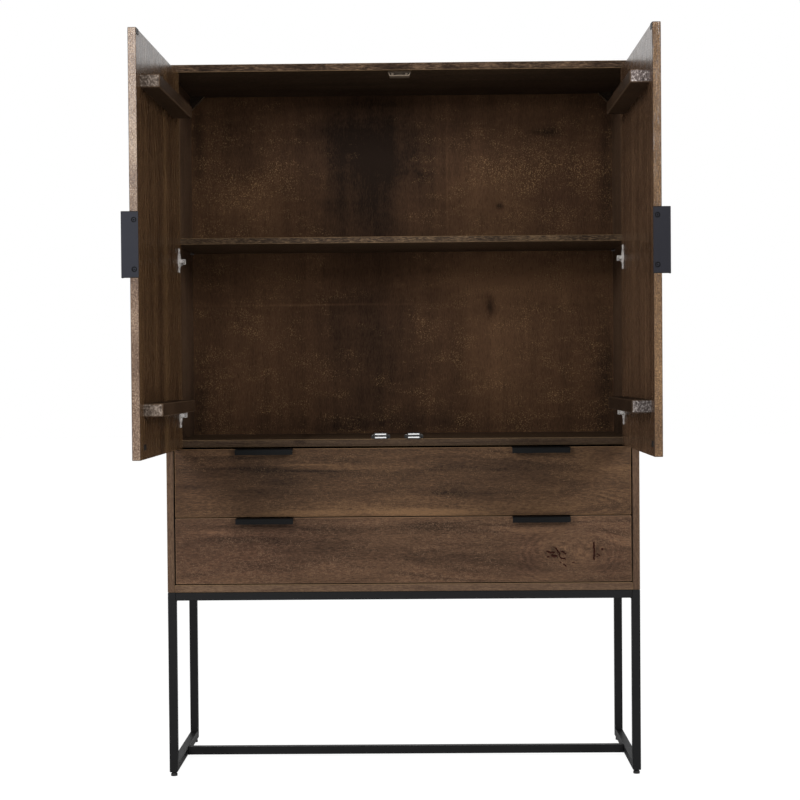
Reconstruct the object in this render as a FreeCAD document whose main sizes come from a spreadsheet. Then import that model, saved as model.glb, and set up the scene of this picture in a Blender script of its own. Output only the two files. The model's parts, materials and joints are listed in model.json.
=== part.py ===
import FreeCAD, Part
import os
import re

import Sketcher
from FreeCAD import Placement, Rotation, Vector

os.makedirs("parts", exist_ok=True)
doc = FreeCAD.newDocument("cupboard")

# Driving dimensions in millimetres and degrees.
# The part stands on its four glides: +Z is up, the fronts look along -Y and the origin is
# on the floor, midway between the sides and midway between the front and the back.
DIMENSIONS = {
    "width": 1150,
    "depth": 390,
    "height": 1732,
    # Steel underframe
    "frame_height": 450,
    "tube": 20,
    "tube_wall": 1.5,
    "tube_ease": 1.5,
    "glide_height": 10,
    "glide_width": 16,
    "tab_wide": 30,
    "tab_deep": 22,
    "tab_thick": 3,
    "tab_spread": 400,
    "frame_screw_wide": 10,
    "frame_screw_tall": 4,
    # Boards of the carcass
    "board": 18,
    "shelf_board": 15,
    "back_board": 9,
    "back_inset": 3,
    "edge_ease": 1,
    "gap": 2.5,
    "meeting_gap": 3,
    "lower_front": 160,
    "upper_front": 166,
    "divider_set": 22,
    "divider_rise": 1,
    "shelf_set": 38,
    "shelf_under": 1300,
    "pin_width": 5,
    "pin_length": 8,
    "corner_block": 38,
    "corner_block_deep": 20,
    # Doors, as far open as they stand at rest
    "left_opening": 91,
    "right_opening": 90,
    "pivot_in": 5,
    "pivot_back": 1,
    "batten_spread": 349.5,
    "batten_tall": 28,
    "batten_deep": 42,
    "batten_start": 70,
    "batten_end": 40,
    "batten_ease": 2,
    # Concealed hinges
    "hinge_spread": 374.5,
    "cup_edge": 22.5,
    "cup_bore": 35,
    "cup_deep": 11.5,
    "cup_rim": 2.5,
    "metal": 1.2,
    "wing_tall": 58,
    "wing_wide": 16,
    "wing_shift": 2,
    "wing_start": 17,
    "cup_pin": 3,
    "cup_pin_in": 11.5,
    "cup_pin_deep": 6,
    "cup_pin_long": 24.3,
    "pin_play": 0.05,
    "link_wide": 8,
    "link_thick": 2.5,
    "link_rise": 11,
    "link_reach": 28,
    "link_closed": 60,
    "link_bend": 1.75,
    "link_eye": 5.25,
    "arm_wide": 12.4,
    "arm_slot": 9.6,
    "arm_front": 20.5,
    "arm_reach": 31,
    "arm_head": 8.5,
    "arm_nose": 5,
    "arm_neck": 27,
    "arm_heel": 47,
    "arm_rise": 15,
    "arm_back": 84,
    "arm_seat": 4,
    "plate_back": 88,
    "plate_tall": 50,
    "plate_wing": 14,
    "plate_wing_start": 56,
    # Folded steel pulls
    "pull_length": 140,
    "pull_plate": 2.5,
    "pull_reach": 19,
    "pull_lip": 14,
    "pull_bend": 3,
    "pull_screw_spread": 104,
    "pull_screw_head": 8,
    "drawer_pull_place": 336,
    # Drawer boxes and their slides
    "box_board": 12,
    "box_under": 20,
    "box_tall": 110,
    "box_deep": 310,
    "box_floor": 5,
    "box_floor_up": 6,
    "slide_wide": 13,
    "slide_tall": 45,
    "slide_long": 300,
    "slide_start": 22,
    "slide_lip": 9.5,
    "runner_tall": 38,
    "runner_web": 3,
    "runner_lip": 10.5,
    "inner_tall": 28,
    "inner_lip": 6,
    # Magnet catches
    "catch_left": 53,
    "catch_right": 28,
    "catch_wide": 32,
    "catch_foot": 46,
    "catch_ear": 9,
    "catch_deep": 30,
    "catch_tall": 14,
    "catch_set": 20,
    "pole_wide": 27,
    "pole_tall": 3,
    "pole_low": 1.7,
    "pole_high": 9.5,
    "pole_proud": 0.5,
    "strike_wide": 24,
    "strike_tall": 12,
    "strike_thick": 1,
    "top_catch_wide": 56,
    "top_catch_narrow": 47,
    "top_catch_tall": 11,
    "top_catch_wall": 2,
    "top_catch_hollow": 12,
    "top_magnet": 6,
    "top_magnet_out": 17,
    "top_catch_half": 14,
}

sheet = doc.addObject("Spreadsheet::Sheet", "dims")
for row, (word, size) in enumerate(DIMENSIONS.items(), start=1):
    sheet.set(f"A{row}", word)
    sheet.set(f"B{row}", str(size))
    sheet.setAlias(f"B{row}", word)
doc.recompute()

# Places and sizes that follow from the driving dimensions, as formulas of their words
INSIDE = "(width / 2 - board)"
FRONT = "(-depth / 2)"
DOOR_WIDE = "((width - 2 * board - 2 * gap - meeting_gap) / 2)"
BASE_TOP = "(frame_height + board)"
LOWER_UNDER = f"({BASE_TOP} + gap)"
UPPER_UNDER = f"({LOWER_UNDER} + lower_front + gap)"
DOOR_UNDER = f"({UPPER_UNDER} + upper_front + gap)"
DOOR_TOP = "(height - board - gap)"
DOOR_TALL = f"({DOOR_TOP} - {DOOR_UNDER})"
DOOR_MIDDLE = f"(({DOOR_TOP} + {DOOR_UNDER}) / 2)"
DIVIDER_TOP = f"({DOOR_UNDER} + board + divider_rise)"
BACK_FACE = "(depth / 2 - back_inset - back_board)"

# Two places closer than this are taken as one
NEAR = 0.01

exported = []


def bound(formula):
    """Write a formula of dimension words as an expression on the sheet."""
    return re.sub(r"\b([a-z][a-z_]*)\b", r"dims.\1", formula)


def number(formula):
    """Work a formula out from the sheet."""
    words = re.findall(r"\b[a-z][a-z_]*\b", formula)
    for word in sorted(set(words), key=len, reverse=True):
        formula = re.sub(rf"\b{word}\b", repr(float(sheet.get(word))), formula)
    return float(sheet.evalExpression(formula))


def part(label):
    """A new body that will be one sub-part, or the pattern piece of a group."""
    body = doc.addObject("PartDesign::Body", label)
    body.Label = label
    return body


def plane(body, role):
    return next(item for item in body.Origin.OriginFeatures if item.Role == role)


def sketch_on(body, role, offset=("0", "0", "0")):
    """A sketch on one of the body's own planes, moved by an offset in that plane's frame."""
    sketch = body.newObject("Sketcher::SketchObject", "profile")
    sketch.AttachmentSupport = [(plane(body, role), "")]
    sketch.MapMode = "FlatFace"
    for letter, formula in zip("xyz", offset):
        if formula != "0":
            sketch.setExpression(f"AttachmentOffset.Base.{letter}", bound(formula))
    return sketch


def pin_point(sketch, line, corner, formula, axis):
    """Hold a line's start at a bound distance from the sketch's origin, along x or y."""
    if formula == "0":
        other_axis = {"x": -2, "y": -1}[axis]
        sketch.addConstraint(Sketcher.Constraint("PointOnObject", line, corner, other_axis))
        return
    kind = {"x": "DistanceX", "y": "DistanceY"}[axis]
    rule = Sketcher.Constraint(kind, -1, 1, line, corner, number(formula))
    index = sketch.addConstraint(rule)
    sketch.setExpression(f"Constraints[{index}]", bound(formula))


def outline(sketch, corners):
    """A closed outline of straight lines through corners given as pairs of formulas."""
    points = [Vector(number(x), number(y), 0) for x, y in corners]
    lines = []
    for index, point in enumerate(points):
        following = points[(index + 1) % len(points)]
        lines.append(sketch.addGeometry(Part.LineSegment(point, following), False))
    for index, line in enumerate(lines):
        following = lines[(index + 1) % len(lines)]
        sketch.addConstraint(Sketcher.Constraint("Coincident", line, 2, following, 1))
        pin_point(sketch, line, 1, corners[index][0], "x")
        pin_point(sketch, line, 1, corners[index][1], "y")


def rectangle(sketch, x_low, y_low, x_high, y_high):
    corners = [(x_low, y_low), (x_high, y_low), (x_high, y_high), (x_low, y_high)]
    outline(sketch, corners)


def circle(sketch, x, y, diameter):
    """A circle of bound diameter about a bound point."""
    centre = Vector(number(x), number(y), 0)
    ring = Part.Circle(centre, Vector(0, 0, 1), number(diameter) / 2)
    line = sketch.addGeometry(ring, False)
    pin_point(sketch, line, 3, x, "x")
    pin_point(sketch, line, 3, y, "y")
    index = sketch.addConstraint(Sketcher.Constraint("Diameter", line, number(diameter)))
    sketch.setExpression(f"Constraints[{index}]", bound(diameter))


def pad(body, sketch, length, both_ways=False, flip=False):
    feature = body.newObject("PartDesign::Pad", "pad")
    feature.Profile = sketch
    feature.setExpression("Length", bound(length))
    feature.Midplane = both_ways
    feature.Reversed = flip
    doc.recompute()
    return feature


def pocket(body, sketch, length, both_ways=False, flip=False):
    """Cut a profile out of the body, and make sure that it took material away."""
    before = body.Shape.Volume
    feature = body.newObject("PartDesign::Pocket", "pocket")
    feature.Profile = sketch
    feature.setExpression("Length", bound(length))
    feature.Midplane = both_ways
    feature.Reversed = flip
    doc.recompute()
    if not body.Shape.Volume < before:
        raise RuntimeError(f"{body.Label}: a pocket removed nothing")
    return feature


def revolve(body, sketch):
    feature = body.newObject("PartDesign::Revolution", "revolution")
    feature.Profile = sketch
    feature.ReferenceAxis = (sketch, ["V_Axis"])
    feature.Angle = 360
    doc.recompute()
    return feature


def ease_edges(body, size, wanted, kind="Chamfer", measure="Size"):
    """Chamfer the straight edges that wanted() picks by their middle and direction."""
    base = body.Tip
    names = []
    for index, edge in enumerate(base.Shape.Edges, start=1):
        if edge.Curve.TypeId != "Part::GeomLine":
            continue
        along = (edge.Vertexes[-1].Point - edge.Vertexes[0].Point).normalize()
        if wanted(edge.CenterOfMass, along):
            names.append(f"Edge{index}")
    feature = body.newObject(f"PartDesign::{kind}", "easing")
    feature.Base = (base, names)
    feature.setExpression(measure, bound(size))
    doc.recompute()
    return feature


def round_edges(body, radius, wanted):
    """Round the edges that wanted() picks, instead of chamfering them."""
    return ease_edges(body, radius, wanted, "Fillet", "Radius")


def every_edge(middle, along):
    return True


def keep(item, x="0", y="0", z="0"):
    """Set a finished sub-part in its place, by formulas, and list it for export."""
    for letter, formula in zip("xyz", (x, y, z)):
        if formula != "0":
            item.setExpression(f"Placement.Base.{letter}", bound(formula))
    exported.append(item)
    return item


def keep_at(item, placement):
    """Set a finished sub-part at a worked-out placement and list it for export."""
    item.Placement = placement
    exported.append(item)
    return item


def group(label, pattern_piece, placements):
    """One sub-part of several equal solids, copied from a pattern piece."""
    doc.recompute()
    copies = []
    for placement in placements:
        copy = pattern_piece.Shape.copy()
        copy.Placement = placement.multiply(copy.Placement)
        copies.append(copy)
    item = doc.addObject("Part::Feature", label)
    item.Label = label
    item.Shape = Part.makeCompound(copies)
    exported.append(item)
    return item


def at(x="0", y="0", z="0"):
    """A placement at three formulas, unturned."""
    return Placement(Vector(number(x), number(y), number(z)), Rotation())


# The right-hand pieces are the left-hand ones turned half round about the Y axis, which is
# the same as mirroring them, because each is symmetrical above and below its own middle.
HAND = {"left": Rotation(), "right": Rotation(Vector(0, 1, 0), 180)}
SIGN = {"left": "-1 * ", "right": ""}


def handed(side, placement):
    """Turn a left-hand piece into the piece for the given side, then place it."""
    return placement.multiply(Placement(Vector(), HAND[side]))


def board(label, x_low, x_high, y_low, y_high, z_low, z_high, eased=every_edge):
    """A flat board between two corners, with its arrises eased."""
    body = part(label)
    profile = sketch_on(body, "XY_Plane")
    rectangle(profile, "0", "0", f"{x_high} - ({x_low})", f"{y_high} - ({y_low})")
    pad(body, profile, f"{z_high} - ({z_low})")
    if eased:
        ease_edges(body, "edge_ease", eased)
    return keep(body, x_low, y_low, z_low)


# Steel underframe


def tube(label, long, low_mitre, high_mitre):
    """Square tube along its own X axis, with its ends square or cut back at 45 degrees."""
    body = part(label)
    section = sketch_on(body, "YZ_Plane")
    rectangle(section, "0", "0", "tube", "tube")
    pad(body, section, long)
    ease_edges(body, "tube_ease", lambda middle, along: abs(along.x) > 0.9)
    bore = sketch_on(body, "YZ_Plane")
    rectangle(bore, "tube_wall", "tube_wall", "tube - tube_wall", "tube - tube_wall")
    pocket(body, bore, long, flip=True)
    if low_mitre:
        wedge = sketch_on(body, "XZ_Plane")
        outline(wedge, [("0", "0"), ("tube", "tube"), ("0", "tube")])
        pocket(body, wedge, "2 * tube", both_ways=True)
    if high_mitre:
        wedge = sketch_on(body, "XZ_Plane")
        outline(wedge, [(long, "0"), (long, "tube"), (f"{long} - tube", "tube")])
        pocket(body, wedge, "2 * tube", both_ways=True)
    return body


LEG_LONG = "(frame_height - glide_height)"


def side_frame(side):
    """Two legs and two rails that are mitred into one closed loop in the side's plane."""
    outer = number(f"{SIGN[side]}width / 2")
    inner = number(f"{SIGN[side]}(width / 2 - tube)")
    low_x, high_x = min(outer, inner), max(outer, inner)
    front, back = number(FRONT), number("depth / 2")
    floor, top = number("glide_height"), number("frame_height")
    faces = {
        # A leg's own Z side is its inner one, where the mitres open
        "front_leg": (Vector(low_x, front, floor), Vector(0, 0, 1), Vector(0, 1, 0)),
        "rear_leg": (Vector(high_x, back, floor), Vector(0, 0, 1), Vector(0, -1, 0)),
        "foot_rail": (Vector(high_x, front, floor), Vector(0, 1, 0), Vector(0, 0, 1)),
        "side_rail": (Vector(low_x, front, top), Vector(0, 1, 0), Vector(0, 0, -1)),
    }
    for name, (corner, along, inward) in faces.items():
        long = LEG_LONG if name.endswith("leg") else "depth"
        body = tube(f"{name}_{side}", long, True, True)
        turn = Rotation(along, inward.cross(along), inward, "XZY")
        keep_at(body, Placement(corner, turn))


side_frame("left")
side_frame("right")

RAIL_LONG = "(width - 2 * tube)"
TAB_PLACES = ("-tab_spread", "0", "tab_spread")


def cross_rail(label, y_low, z_low, tabs_from=None):
    """A rail between the side frames, with tabs welded on where it holds the carcass."""
    rail = tube(label, RAIL_LONG, False, False)
    if tabs_from:
        tabs = sketch_on(rail, "XY_Plane", ("0", "0", "tube"))
        for along in TAB_PLACES:
            start = f"{RAIL_LONG} / 2 + {along} - tab_wide / 2"
            rectangle(tabs, start, tabs_from, f"{start} + tab_wide", f"{tabs_from} + tab_deep")
        pad(rail, tabs, "tab_thick", flip=True)
    keep(rail, "tube - width / 2", y_low, z_low)


cross_rail("top_rail_front", FRONT, "frame_height - tube", "(tube - tube_wall)")
cross_rail("top_rail_rear", "depth / 2 - tube", "frame_height - tube", "(tube_wall - tab_deep)")
cross_rail("foot_stretcher", "-tube / 2", "glide_height")

# The tabs are screwed to the carcass from below by screws with six-sided heads. Half a side
# of such a head is the tangent of 30 degrees, which is 0.5774, times half its width.
HALF_SIDE = "(0.5774 * frame_screw_wide / 2)"
frame_screw = part("frame_screw_pattern")
six_sides = sketch_on(frame_screw, "XY_Plane")
outline(
    six_sides,
    [
        ("-frame_screw_wide / 2", f"-{HALF_SIDE}"),
        ("0", f"-2 * {HALF_SIDE}"),
        ("frame_screw_wide / 2", f"-{HALF_SIDE}"),
        ("frame_screw_wide / 2", HALF_SIDE),
        ("0", f"2 * {HALF_SIDE}"),
        ("-frame_screw_wide / 2", HALF_SIDE),
    ],
)
pad(frame_screw, six_sides, "frame_screw_tall", flip=True)
TAB_MIDDLE = "(depth / 2 - tube - tab_deep / 2 + tube_wall)"
screw_places = [
    at(along, f"{ahead}{TAB_MIDDLE}", "frame_height - tab_thick")
    for along in TAB_PLACES
    for ahead in ("-1 * ", "")
]
group("frame_screws", frame_screw, screw_places)

# A glide is a foot with a flat sole that narrows upwards, turned about the upright axis
glide = part("glide_pattern")
half_glide = sketch_on(glide, "XZ_Plane")
outline(
    half_glide,
    [
        ("0", "0"),
        ("glide_width / 2", "0"),
        ("glide_width / 2", "glide_height / 2"),
        ("glide_width / 4", "glide_height"),
        ("0", "glide_height"),
    ],
)
revolve(glide, half_glide)
foot_places = [
    at(f"{sign}(width / 2 - tube / 2)", f"{ahead}(depth / 2 - tube / 2)")
    for sign in ("", "-1 * ")
    for ahead in ("", "-1 * ")
]
group("glides", glide, foot_places)

# Carcass

side_ends = (FRONT, "depth / 2", "frame_height", "height - board")
board("side_panel_left", "-width / 2", f"-{INSIDE}", *side_ends)
board("side_panel_right", INSIDE, "width / 2", *side_ends)
board("top_panel", "-width / 2", "width / 2", FRONT, "depth / 2", "height - board", "height")

board("base_panel", f"-{INSIDE}", INSIDE, FRONT, "depth / 2", "frame_height", BASE_TOP)
board(
    "divider_panel",
    f"-{INSIDE}",
    INSIDE,
    f"{FRONT} + divider_set",
    BACK_FACE,
    f"{DIVIDER_TOP} - board",
    DIVIDER_TOP,
)
board(
    "back_panel",
    f"-{INSIDE}",
    INSIDE,
    BACK_FACE,
    f"{BACK_FACE} + back_board",
    BASE_TOP,
    "height - board",
    eased=None,
)
board(
    "shelf",
    f"-({INSIDE} - 1)",
    f"{INSIDE} - 1",
    f"{FRONT} + shelf_set",
    f"{BACK_FACE} - 2",
    "shelf_under",
    "shelf_under + shelf_board",
)

# Shelf pins are round pegs that stand out of the sides just under the shelf
peg = part("peg_pattern")
peg_section = sketch_on(peg, "YZ_Plane")
circle(peg_section, "0", "0", "pin_width")
pad(peg, peg_section, "pin_length")
PEG_UP = "shelf_under - pin_width / 2"
peg_places = []
for side in ("left", "right"):
    for ahead in (f"{FRONT} + 2 * shelf_set", f"{BACK_FACE} - shelf_set"):
        spot = at(f"{SIGN[side]}{INSIDE}", ahead, PEG_UP)
        peg_places.append(handed(side, spot))
group("shelf_pins", peg, peg_places)

# Glue blocks in the two top corners at the back
block = part("corner_block_pattern")
triangle = sketch_on(block, "XZ_Plane")
outline(triangle, [("0", "0"), ("corner_block", "0"), ("0", "-corner_block")])
pad(block, triangle, "corner_block_deep")
block_places = [
    at(f"-{INSIDE}", BACK_FACE, "height - board"),
    at(INSIDE, f"{BACK_FACE} - corner_block_deep", "height - board").multiply(
        Placement(Vector(), Rotation(Vector(0, 0, 1), 180))
    ),
]
group("corner_blocks", block, block_places)

# Doors, in a frame of their own: the hinge axis is the Z axis, the closed door lies along
# +X, its outer face looks along -Y, and z is 0 at half its height.

DOOR_EDGE = "(gap - pivot_in)"
DOOR_FREE = f"({DOOR_EDGE} + {DOOR_WIDE})"
DOOR_BACK = "(board - pivot_back)"
HINGE_HEIGHTS = ("-hinge_spread", "0", "hinge_spread")
PULL_SCREWS = ("pull_screw_spread / 2", "-pull_screw_spread / 2")
OPENING = {"left": -number("left_opening"), "right": number("right_opening")}


def hinge_axis(side):
    """The place of a door's hinge axis, with its left-hand piece turned for its side."""
    spot = at(f"{SIGN[side]}({INSIDE} - pivot_in)", f"{FRONT} + pivot_back", DOOR_MIDDLE)
    return handed(side, spot)


def door_pose(side):
    """The door's frame, opened as it stands at rest."""
    spot = at(f"{SIGN[side]}({INSIDE} - pivot_in)", f"{FRONT} + pivot_back", DOOR_MIDDLE)
    turn = Placement(Vector(), Rotation(Vector(0, 0, 1), OPENING[side]))
    return handed(side, spot.multiply(turn))


def door_panel(side):
    body = part(f"door_panel_{side}")
    slab = sketch_on(body, "XY_Plane", (DOOR_EDGE, "-pivot_back", "0"))
    rectangle(slab, "0", "0", DOOR_WIDE, "board")
    pad(body, slab, DOOR_TALL, both_ways=True)
    ease_edges(body, "edge_ease", every_edge)
    bores = sketch_on(body, "XZ_Plane", (DOOR_EDGE, "0", f"-{DOOR_BACK}"))
    for height in HINGE_HEIGHTS:
        circle(bores, "cup_edge", height, "cup_bore")
    pocket(body, bores, "cup_deep", flip=True)
    seat = sketch_on(body, "XZ_Plane", (DOOR_FREE, "0", "0"))
    rectangle(seat, "-pull_plate", "-pull_length / 2", "1", "pull_length / 2")
    pocket(body, seat, "4 * board", both_ways=True)
    keep_at(body, door_pose(side))


def at_corner(middle, x, y):
    """Whether an upright edge's middle lies at a corner of the profile."""
    return middle.isEqual(Vector(x, y, 0), NEAR)


def fold_pull(label):
    """A pull folded from steel plate: it laps a board's edge, stands out and turns back.

    The board's back arris is the Z axis, the lapped edge is the X = 0 plane and the board's
    outer face looks along -Y.
    """
    body = part(label)
    out = "-(board + pull_reach)"
    profile = sketch_on(body, "XY_Plane")
    outline(
        profile,
        [
            ("0", "0"),
            ("-pull_plate", "0"),
            ("-pull_plate", f"{out} + pull_plate"),
            ("-pull_lip", f"{out} + pull_plate"),
            ("-pull_lip", out),
            ("0", out),
        ],
    )
    pad(body, profile, "pull_length", both_ways=True)
    bends = {"pull_bend": ("0", out), "pull_bend - pull_plate": ("-pull_plate", f"{out} + pull_plate")}
    for radius, (x, y) in bends.items():
        corner = (number(x), number(y))
        round_edges(body, radius, lambda middle, along: at_corner(middle, *corner))
    sinks = sketch_on(body, "YZ_Plane", ("-board / 2", "0", "0"))
    for height in PULL_SCREWS:
        circle(sinks, "0", height, "pull_screw_head")
    pocket(body, sinks, "pull_plate / 2")
    return body


# Each pull's screws show their heads only, which lie flush in the plate
pull_screw = part("pull_screw_pattern")
disc = sketch_on(pull_screw, "YZ_Plane", ("-board / 2", "0", "-pull_plate / 2"))
circle(disc, "0", "0", "pull_screw_head - 4 * pin_play")
pad(pull_screw, disc, "pull_plate / 2")


def door_pull(side):
    body = fold_pull(f"door_pull_{side}")
    seat = door_pose(side).multiply(at(DOOR_FREE, DOOR_BACK))
    keep_at(body, seat)
    places = [seat.multiply(at(z=height)) for height in PULL_SCREWS]
    group(f"door_pull_screws_{side}", pull_screw, places)


# Battens stiffen a door across its inner face
batten = part("batten_pattern")
batten_plan = sketch_on(batten, "XY_Plane", (f"{DOOR_EDGE} + batten_start", DOOR_BACK, "0"))
rectangle(batten_plan, "0", "0", f"{DOOR_WIDE} - batten_start - batten_end", "batten_deep")
pad(batten, batten_plan, "batten_tall", both_ways=True)
ease_edges(batten, "batten_ease", lambda middle, along: middle.y > number(f"{DOOR_BACK} + 1"))

# A hinge cup is pressed from sheet, with a rim, two wings and a pin across its mouth
cup = part("hinge_cup_pattern")
cup_wall = sketch_on(cup, "XY_Plane", (f"{DOOR_EDGE} + cup_edge", DOOR_BACK, "0"))
CUP_OUT = "cup_bore / 2 - pin_play"
CUP_FLOOR = "4 * pin_play - cup_deep"
outline(
    cup_wall,
    [
        ("0", CUP_FLOOR),
        (CUP_OUT, CUP_FLOOR),
        (CUP_OUT, "0"),
        ("cup_bore / 2 + cup_rim", "0"),
        ("cup_bore / 2 + cup_rim", "metal"),
        ("cup_bore / 2 - metal", "metal"),
        ("cup_bore / 2 - metal", f"{CUP_FLOOR} + metal"),
        ("0", f"{CUP_FLOOR} + metal"),
    ],
)
revolve(cup, cup_wall)
wings = sketch_on(cup, "XZ_Plane", (f"{DOOR_EDGE} + cup_edge + wing_shift", "0", f"-{DOOR_BACK}"))
rectangle(wings, "-wing_wide / 2", "wing_start", "wing_wide / 2", "wing_tall / 2")
rectangle(wings, "-wing_wide / 2", "-wing_tall / 2", "wing_wide / 2", "-wing_start")
pad(cup, wings, "metal", flip=True)
pin = sketch_on(cup, "XY_Plane", (f"{DOOR_EDGE} + cup_pin_in", f"{DOOR_BACK} - cup_pin_deep", "0"))
circle(pin, "0", "0", "cup_pin")
pad(cup, pin, "cup_pin_long", both_ways=True)

# A link is bent from strip: it turns on the cup's pin, rises out of the cup and reaches
# over its rim into the arm. Its far end is free between the arm's cheeks.
link = part("hinge_link_pattern")
strip = sketch_on(link, "XY_Plane")
outline(
    strip,
    [
        ("-link_thick / 2", "0"),
        ("link_thick / 2", "0"),
        ("link_thick / 2", "link_rise + link_thick / 2"),
        ("-link_reach", "link_rise + link_thick / 2"),
        ("-link_reach", "link_rise - link_thick / 2"),
        ("-link_thick / 2", "link_rise - link_thick / 2"),
    ],
)
pad(link, strip, "link_wide", both_ways=True)


def at_the_bend(middle, along):
    return abs(along.z) > 0.9 and middle.y > number("link_rise / 2") and middle.x > -number("link_thick")


ease_edges(link, "link_bend", at_the_bend)
eye = sketch_on(link, "XY_Plane")
circle(eye, "0", "0", "link_eye")
pad(link, eye, "link_wide", both_ways=True)
eye_bore = sketch_on(link, "XY_Plane")
circle(eye_bore, "0", "0", "cup_pin + 2 * pin_play")
pocket(link, eye_bore, "2 * link_wide", both_ways=True)

# An arm is a channel of sheet, cranked from its seat on the plate out to the door
arm = part("hinge_arm_pattern")
cheek = sketch_on(arm, "XY_Plane", ("-pivot_in", "-pivot_back", "0"))
outline(
    cheek,
    [
        ("arm_reach - arm_head", "arm_front"),
        ("arm_reach", "arm_front"),
        ("arm_reach", "arm_neck"),
        ("arm_rise", "arm_heel"),
        ("arm_rise", "arm_back"),
        ("arm_seat", "arm_back"),
        ("arm_seat", "arm_heel - arm_seat"),
        ("arm_reach - arm_head", "arm_front + arm_nose"),
    ],
)
pad(arm, cheek, "arm_wide", both_ways=True)
channel = sketch_on(arm, "XY_Plane", ("-pivot_in", "-pivot_back", "0"))
outline(
    channel,
    [
        ("0", "arm_front - 1"),
        ("arm_reach - metal", "arm_front - 1"),
        ("arm_reach - metal", "arm_neck - metal / 2"),
        ("arm_rise - metal", "arm_heel - metal / 2"),
        ("arm_rise - metal", "arm_back - metal"),
        ("0", "arm_back - metal"),
    ],
)
pocket(arm, channel, "arm_slot", both_ways=True)

# A mounting plate has a raised middle for the arm and a wing above and below it
plate = part("hinge_plate_pattern")
middle = sketch_on(plate, "XY_Plane", ("-pivot_in", "-pivot_back", "0"))
rectangle(middle, "0", "arm_heel + 1", "arm_seat", "plate_back")
pad(plate, middle, "arm_wide", both_ways=True)
wing = sketch_on(plate, "XY_Plane", ("-pivot_in", "-pivot_back", "0"))
rectangle(wing, "0", "plate_wing_start", "arm_seat / 2", "plate_wing_start + plate_wing")
pad(plate, wing, "plate_tall", both_ways=True)

# A catch's strike is a small steel plate, lying flat on a door's inner face
strike = part("strike_pattern")
strike_face = sketch_on(strike, "XZ_Plane", ("0", "0", f"-{DOOR_BACK}"))
rectangle(strike_face, "-strike_wide / 2", "-strike_tall / 2", "strike_wide / 2", "strike_tall / 2")
pad(strike, strike_face, "strike_thick", flip=True)
CATCH_PLACE = {"left": "catch_left", "right": "catch_right"}
POLE_MIDDLE = f"({DIVIDER_TOP} + (pole_low + pole_high + pole_tall) / 2)"
UPSIDE = {"left": "", "right": "-1 * "}


def door(side):
    """Everything that swings with one door, and the links on its hinge cups."""
    pose = door_pose(side)
    door_panel(side)
    group(
        f"door_battens_{side}",
        batten,
        [pose.multiply(at(z=height)) for height in ("batten_spread", "-batten_spread")],
    )
    group(f"hinge_cups_{side}", cup, [pose.multiply(at(z=height)) for height in HINGE_HEIGHTS])
    door_pull(side)
    low = at(
        f"{DOOR_FREE} + meeting_gap / 2 - {CATCH_PLACE[side]}",
        z=f"{UPSIDE[side]}({POLE_MIDDLE} - {DOOR_MIDDLE})",
    )
    high = at(
        f"{DOOR_FREE} + meeting_gap / 2 - top_catch_half",
        z=f"{UPSIDE[side]}({DOOR_TOP} - edge_ease - strike_tall / 2 - {DOOR_MIDDLE})",
    )
    group(f"strikes_{side}", strike, [pose.multiply(low), pose.multiply(high)])
    swing = number("link_closed") * (abs(OPENING[side]) / 90 - 1)
    fold = Placement(Vector(), Rotation(Vector(0, 0, 1), swing))
    places = []
    for height in HINGE_HEIGHTS:
        pin_spot = at(f"{DOOR_EDGE} + cup_pin_in", f"{DOOR_BACK} - cup_pin_deep", height)
        places.append(pose.multiply(pin_spot).multiply(fold))
    group(f"hinge_links_{side}", link, places)


for side in ("left", "right"):
    door(side)
    fixed = hinge_axis(side)
    group(f"hinge_arms_{side}", arm, [fixed.multiply(at(z=height)) for height in HINGE_HEIGHTS])
hinge_places = [
    hinge_axis(side).multiply(at(z=height)) for side in ("left", "right") for height in HINGE_HEIGHTS
]
group("hinge_plates", plate, hinge_places)

# Catches: two magnets on the divider, each between two steel poles, and a twin one above

magnet = part("catch_pattern")
foot = sketch_on(magnet, "XY_Plane")
rectangle(foot, "-catch_foot / 2", "catch_deep / 3", "catch_foot / 2", "2 * catch_deep / 3")
pad(magnet, foot, "catch_ear")
shell = sketch_on(magnet, "XY_Plane")
rectangle(shell, "-catch_wide / 2", "0", "catch_wide / 2", "catch_deep")
pad(magnet, shell, "catch_tall")
slots = sketch_on(magnet, "XZ_Plane")
for low in ("pole_low", "pole_high"):
    rectangle(slots, "-pole_wide / 2", low, "pole_wide / 2", f"{low} + pole_tall")
pocket(magnet, slots, "catch_deep - 2")
pole = part("pole_pattern")
pole_plan = sketch_on(pole, "XY_Plane")
rectangle(pole_plan, "-pole_wide / 2", "-pole_proud", "pole_wide / 2", "catch_deep - 2")
pad(pole, pole_plan, "pole_tall")
catch_places = [
    at(x, f"{FRONT} + catch_set", DIVIDER_TOP) for x in ("-catch_left", "catch_right")
]
group("bottom_catches", magnet, catch_places)
pole_places = [place.multiply(at(z=low)) for place in catch_places for low in ("pole_low", "pole_high")]
group("catch_poles", pole, pole_places)


def tapered(sketch, wide, narrow, over, under):
    """A trapezoid that hangs with its wide side up, between two heights."""
    corners = [(f"-{wide} / 2", over), (f"{wide} / 2", over)]
    corners += [(f"{narrow} / 2", under), (f"-{narrow} / 2", under)]
    outline(sketch, corners)


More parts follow.
